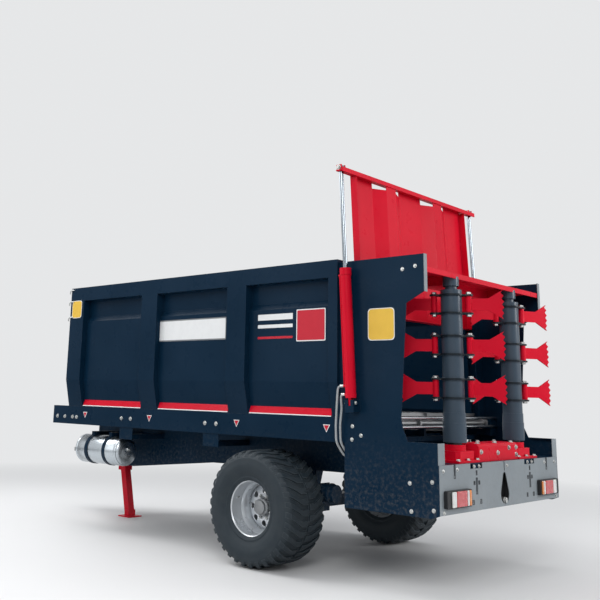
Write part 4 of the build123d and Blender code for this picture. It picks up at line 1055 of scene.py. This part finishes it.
class OBJECT_OT_spreader_deck(bpy.types.Operator):
    """Gearbox bolts, shaft seals, floor end bars, folded edges in pale grey as a painted highlight, and what shows
    on and in the rear plate.
    """

    bl_idname = "object.spreader_deck"
    bl_label = "Deck"

    def execute(self, context):
        low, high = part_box("drive_housing")
        axis_x, face = at(BEATER_X), at(DECK_REAR)
        bolts = [((low.x, y, DECK_TOP + rise), (-1, 0, 0)) for y, rise in HOUSING_BOLTS]
        bolts += [((axis_x + dx, y, high.z), (0, 0, 1)) for dx, y in HOUSING_TOP_BOLTS]
        bolts += [((axis_x + dx, side * BEATER_Y + dy, DECK_TOP + FOOT_PLATE), (0, 0, 1))
                  for side in SIDES for dx, dy in FOOT_BOLTS]
        bolt_group("gearbox_bolts", bolts, DECK_BOLT, "chassis")
        seals = [[(axis_x, side * BEATER_Y, z) for z in SEAL_STEPS] for side in SIDES]
        tubes("gearbox_seals", seals, SEAL_RADIUS, 28, "chassis", "bare_steel", "black_zinc")
        bars = [[(at(END_BAR_X), y, z) for y in (-END_BAR_HALF, END_BAR_HALF)] for z in END_BARS_Z]
        tubes("floor_end_bars", bars, END_BAR_RADIUS, 20, "chassis", "bare_steel", "polished_bar")

        walls = [tuple((face + x, y, z) for x, y, z in corners) for corners in COUPLING_BOX]
        boxes("coupling_box", walls, "chassis", "dark_paint", "black_plastic")
        stub = [(face + x, 0.0, STUB_Z) for x in STUB_STEPS]
        tubes("coupling_stub", [stub], STUB_RADII, 24, "chassis", "bare_steel", "zinc")
        boxes("slot_edges", slot_edges(face), "chassis", "grey_plate", "black_plastic")
        # painted highlight: pale grey covers over the rear-facing folds stand in for the light they reflect
        folds = [sided_box(*corners, side) for side in SIDES for corners in FOLD_HIGHLIGHTS]
        boxes("folded_edge_highlights", folds, "chassis", "grey_plate")
        bolts = [((face, side * y, z), (-1, 0, 0)) for side in SIDES for y, z in PLATE_BOLTS]
        bolts.append(((face, *ODD_PLATE_BOLT), (-1, 0, 0)))
        bolt_group("plate_bolts", bolts, PLATE_BOLT, "chassis")
        return {"FINISHED"}


# Studio

# Tone and strength of the backdrop as it is seen, and of the world's own light
PALE, PALE_LEVEL = (0.86, 0.87, 0.88), 0.92
SOFT, SOFT_LEVEL = (0.80, 0.84, 0.90), 0.36

# Distances from the middle between which the floor goes over into the backdrop's tone, and its half width
SWEEP = (4.0, 9.5)
FLOOR_HALF = 40.0

# Lamps as name, place, size, watts, and where they aim
LAMPS = (
    ("key", (-6.5, 7.5, 6.5), 4.0, 365.0),
    ("rear", (-9.5, -4.5, 4.5), 3.5, 440.0),
    ("fill", (3.0, 9.0, 4.0), 5.0, 90.0),
    ("ledge", (3.8, 2.1, 6.3), 5.0, 370.0),
    ("top", (-1.0, 0.0, 8.5), 6.0, 195.0),
)
LAMP_AIM = (0.3, 0.0, 1.2)

# Camera given from the axle, its angles in radians, and its picture in pixels of a square frame
EYE = (-4.926, 6.601, 1.380)
YAW, PITCH, ROLL = -0.8154, 0.2121, 0.0268
PICTURE, FOCAL, CENTRE = 600, 838.31, (240.71, 216.12)
SENSOR = 36.0


def studio_floor():
    """Pale floor that keeps the object's shadow near it and has the backdrop's tone farther off."""
    tone = settings().floor_tone
    n = material_nodes("studio floor")
    patch = n.noise(0.6, 2.0)
    base = n.mix(n.ramp(patch, 0.3, 0.7), (tone * 0.985,) * 3, (tone,) * 3)
    near = n.add("ShaderNodeBsdfPrincipled", {"Base Color": base, "Roughness": 0.6, "Specular IOR Level": 0.2})
    away = n.add("ShaderNodeVectorMath", {0: n.place}, operation="LENGTH").outputs["Value"]
    seen = n.add("ShaderNodeLightPath").outputs["Is Camera Ray"]
    far = n.add("ShaderNodeEmission", {"Color": PALE + (1.0,), "Strength": PALE_LEVEL})
    FINISH["studio_floor"] = n.finish(n.blend(n.times(n.ramp(away, *SWEEP), seen), near, far))
    side = np.linspace(-FLOOR_HALF, FLOOR_HALF, 9)
    x, y = np.meshgrid(side, side, indexing="ij")
    verts = np.stack([x, y, np.full_like(x, -0.001)], -1)
    floor = new_piece("studio_floor", verts, grid_faces(9, 9), None, "studio_floor")
    if floor.data.polygons[0].normal.z < 0:
        floor.data.flip_normals()


def studio_world(context):
    """Soft light from all round, seen as the pale backdrop by the camera, by metal and through glass."""
    context.scene.world = bpy.data.worlds.new("studio")
    n = Nodes(context.scene.world)
    path = n.add("ShaderNodeLightPath").outputs
    shiny = n.calc("MAXIMUM", path["Is Glossy Ray"], path["Is Transmission Ray"])
    seen = n.calc("MAXIMUM", path["Is Camera Ray"], shiny)
    soft, pale = (n.add("ShaderNodeBackground", {"Color": colour + (1.0,), "Strength": level})
                  for colour, level in ((SOFT, SOFT_LEVEL), (PALE, PALE_LEVEL)))
    n.finish(n.blend(seen, soft, pale), "ShaderNodeOutputWorld")


def studio_lamps(context):
    """Square lamps that all face the middle of the body."""
    aim = Vector((at(LAMP_AIM[0]), *LAMP_AIM[1:]))
    for name, place, size, watts in LAMPS:
        data = bpy.data.lights.new(name, "AREA")
        data.size = size
        data.energy = watts
        lamp = bpy.data.objects.new(name, data)
        context.scene.collection.objects.link(lamp)
        lamp.location = place
        lamp.rotation_euler = (aim - Vector(place)).to_track_quat("-Z", "Y").to_euler()


def studio_camera(context):
    """Camera from its eye and angles: looking direction first, then rolled about it, with a shifted frame."""
    look = np.array([math.cos(PITCH) * math.cos(YAW), math.cos(PITCH) * math.sin(YAW), math.sin(PITCH)])
    right = np.cross(look, (0, 0, 1))
    right /= np.linalg.norm(right)
    up = np.cross(right, look)
    data = bpy.data.cameras.new("photo view")
    data.sensor_width = SENSOR
    data.lens = FOCAL / PICTURE * SENSOR
    data.shift_x = (PICTURE / 2 - CENTRE[0]) / PICTURE
    data.shift_y = (CENTRE[1] - PICTURE / 2) / PICTURE
    camera = bpy.data.objects.new("photo view", data)
    context.scene.collection.objects.link(camera)
    basis = np.eye(4)
    basis[:3, 0] = math.cos(ROLL) * right + math.sin(ROLL) * up
    basis[:3, 1] = math.cos(ROLL) * up - math.sin(ROLL) * right
    basis[:3, 2] = -look
    basis[:3, 3] = (at(EYE[0]), *EYE[1:])
    camera.matrix_world = Matrix(basis.tolist())
    context.scene.camera = camera


class OBJECT_OT_spreader_stage(bpy.types.Operator):
    """Pale floor and backdrop, soft studio lamps and the camera."""

    bl_idname = "object.spreader_stage"
    bl_label = "Studio"

    def execute(self, context):
        studio_floor()
        studio_world(context)
        studio_lamps(context)
        studio_camera(context)
        context.scene.view_settings.view_transform = "Standard"
        return {"FINISHED"}


OPERATORS = (
    OBJECT_OT_spreader_finishes,
    OBJECT_OT_spreader_wheels,
    OBJECT_OT_spreader_tank,
    OBJECT_OT_spreader_lamps,
    OBJECT_OT_spreader_plates,
    OBJECT_OT_spreader_bolts,
    OBJECT_OT_spreader_beaters,
    OBJECT_OT_spreader_hydraulics,
    OBJECT_OT_spreader_deck,
    OBJECT_OT_spreader_stage,
)


class VIEW3D_PT_spreader(bpy.types.Panel):
    """Settings and steps of the dressing."""

    bl_label = "Manure spreader"
    bl_idname = "VIEW3D_PT_spreader"
    bl_space_type = "VIEW_3D"
    bl_region_type = "UI"
    bl_category = "Spreader"

    def draw(self, context):
        for key in SpreaderSettings.__annotations__:
            self.layout.prop(context.scene.spreader, key)
        for operator in OPERATORS:
            self.layout.operator(operator.bl_idname)


CLASSES = (SpreaderSettings,) + OPERATORS + (VIEW3D_PT_spreader,)


def register():
    """Registers the classes and puts the settings on the scene."""
    for item in CLASSES:
        bpy.utils.register_class(item)
    bpy.types.Scene.spreader = PointerProperty(type=SpreaderSettings)


def unregister():
    """Takes the classes away again."""
    del bpy.types.Scene.spreader
    for item in reversed(CLASSES):
        bpy.utils.unregister_class(item)


def main():
    """Runs every step in order."""
    register()
    for operator in OPERATORS:
        group, name = operator.bl_idname.split(".")
        getattr(getattr(bpy.ops, group), name)()


if __name__ == "__main__":
    main()
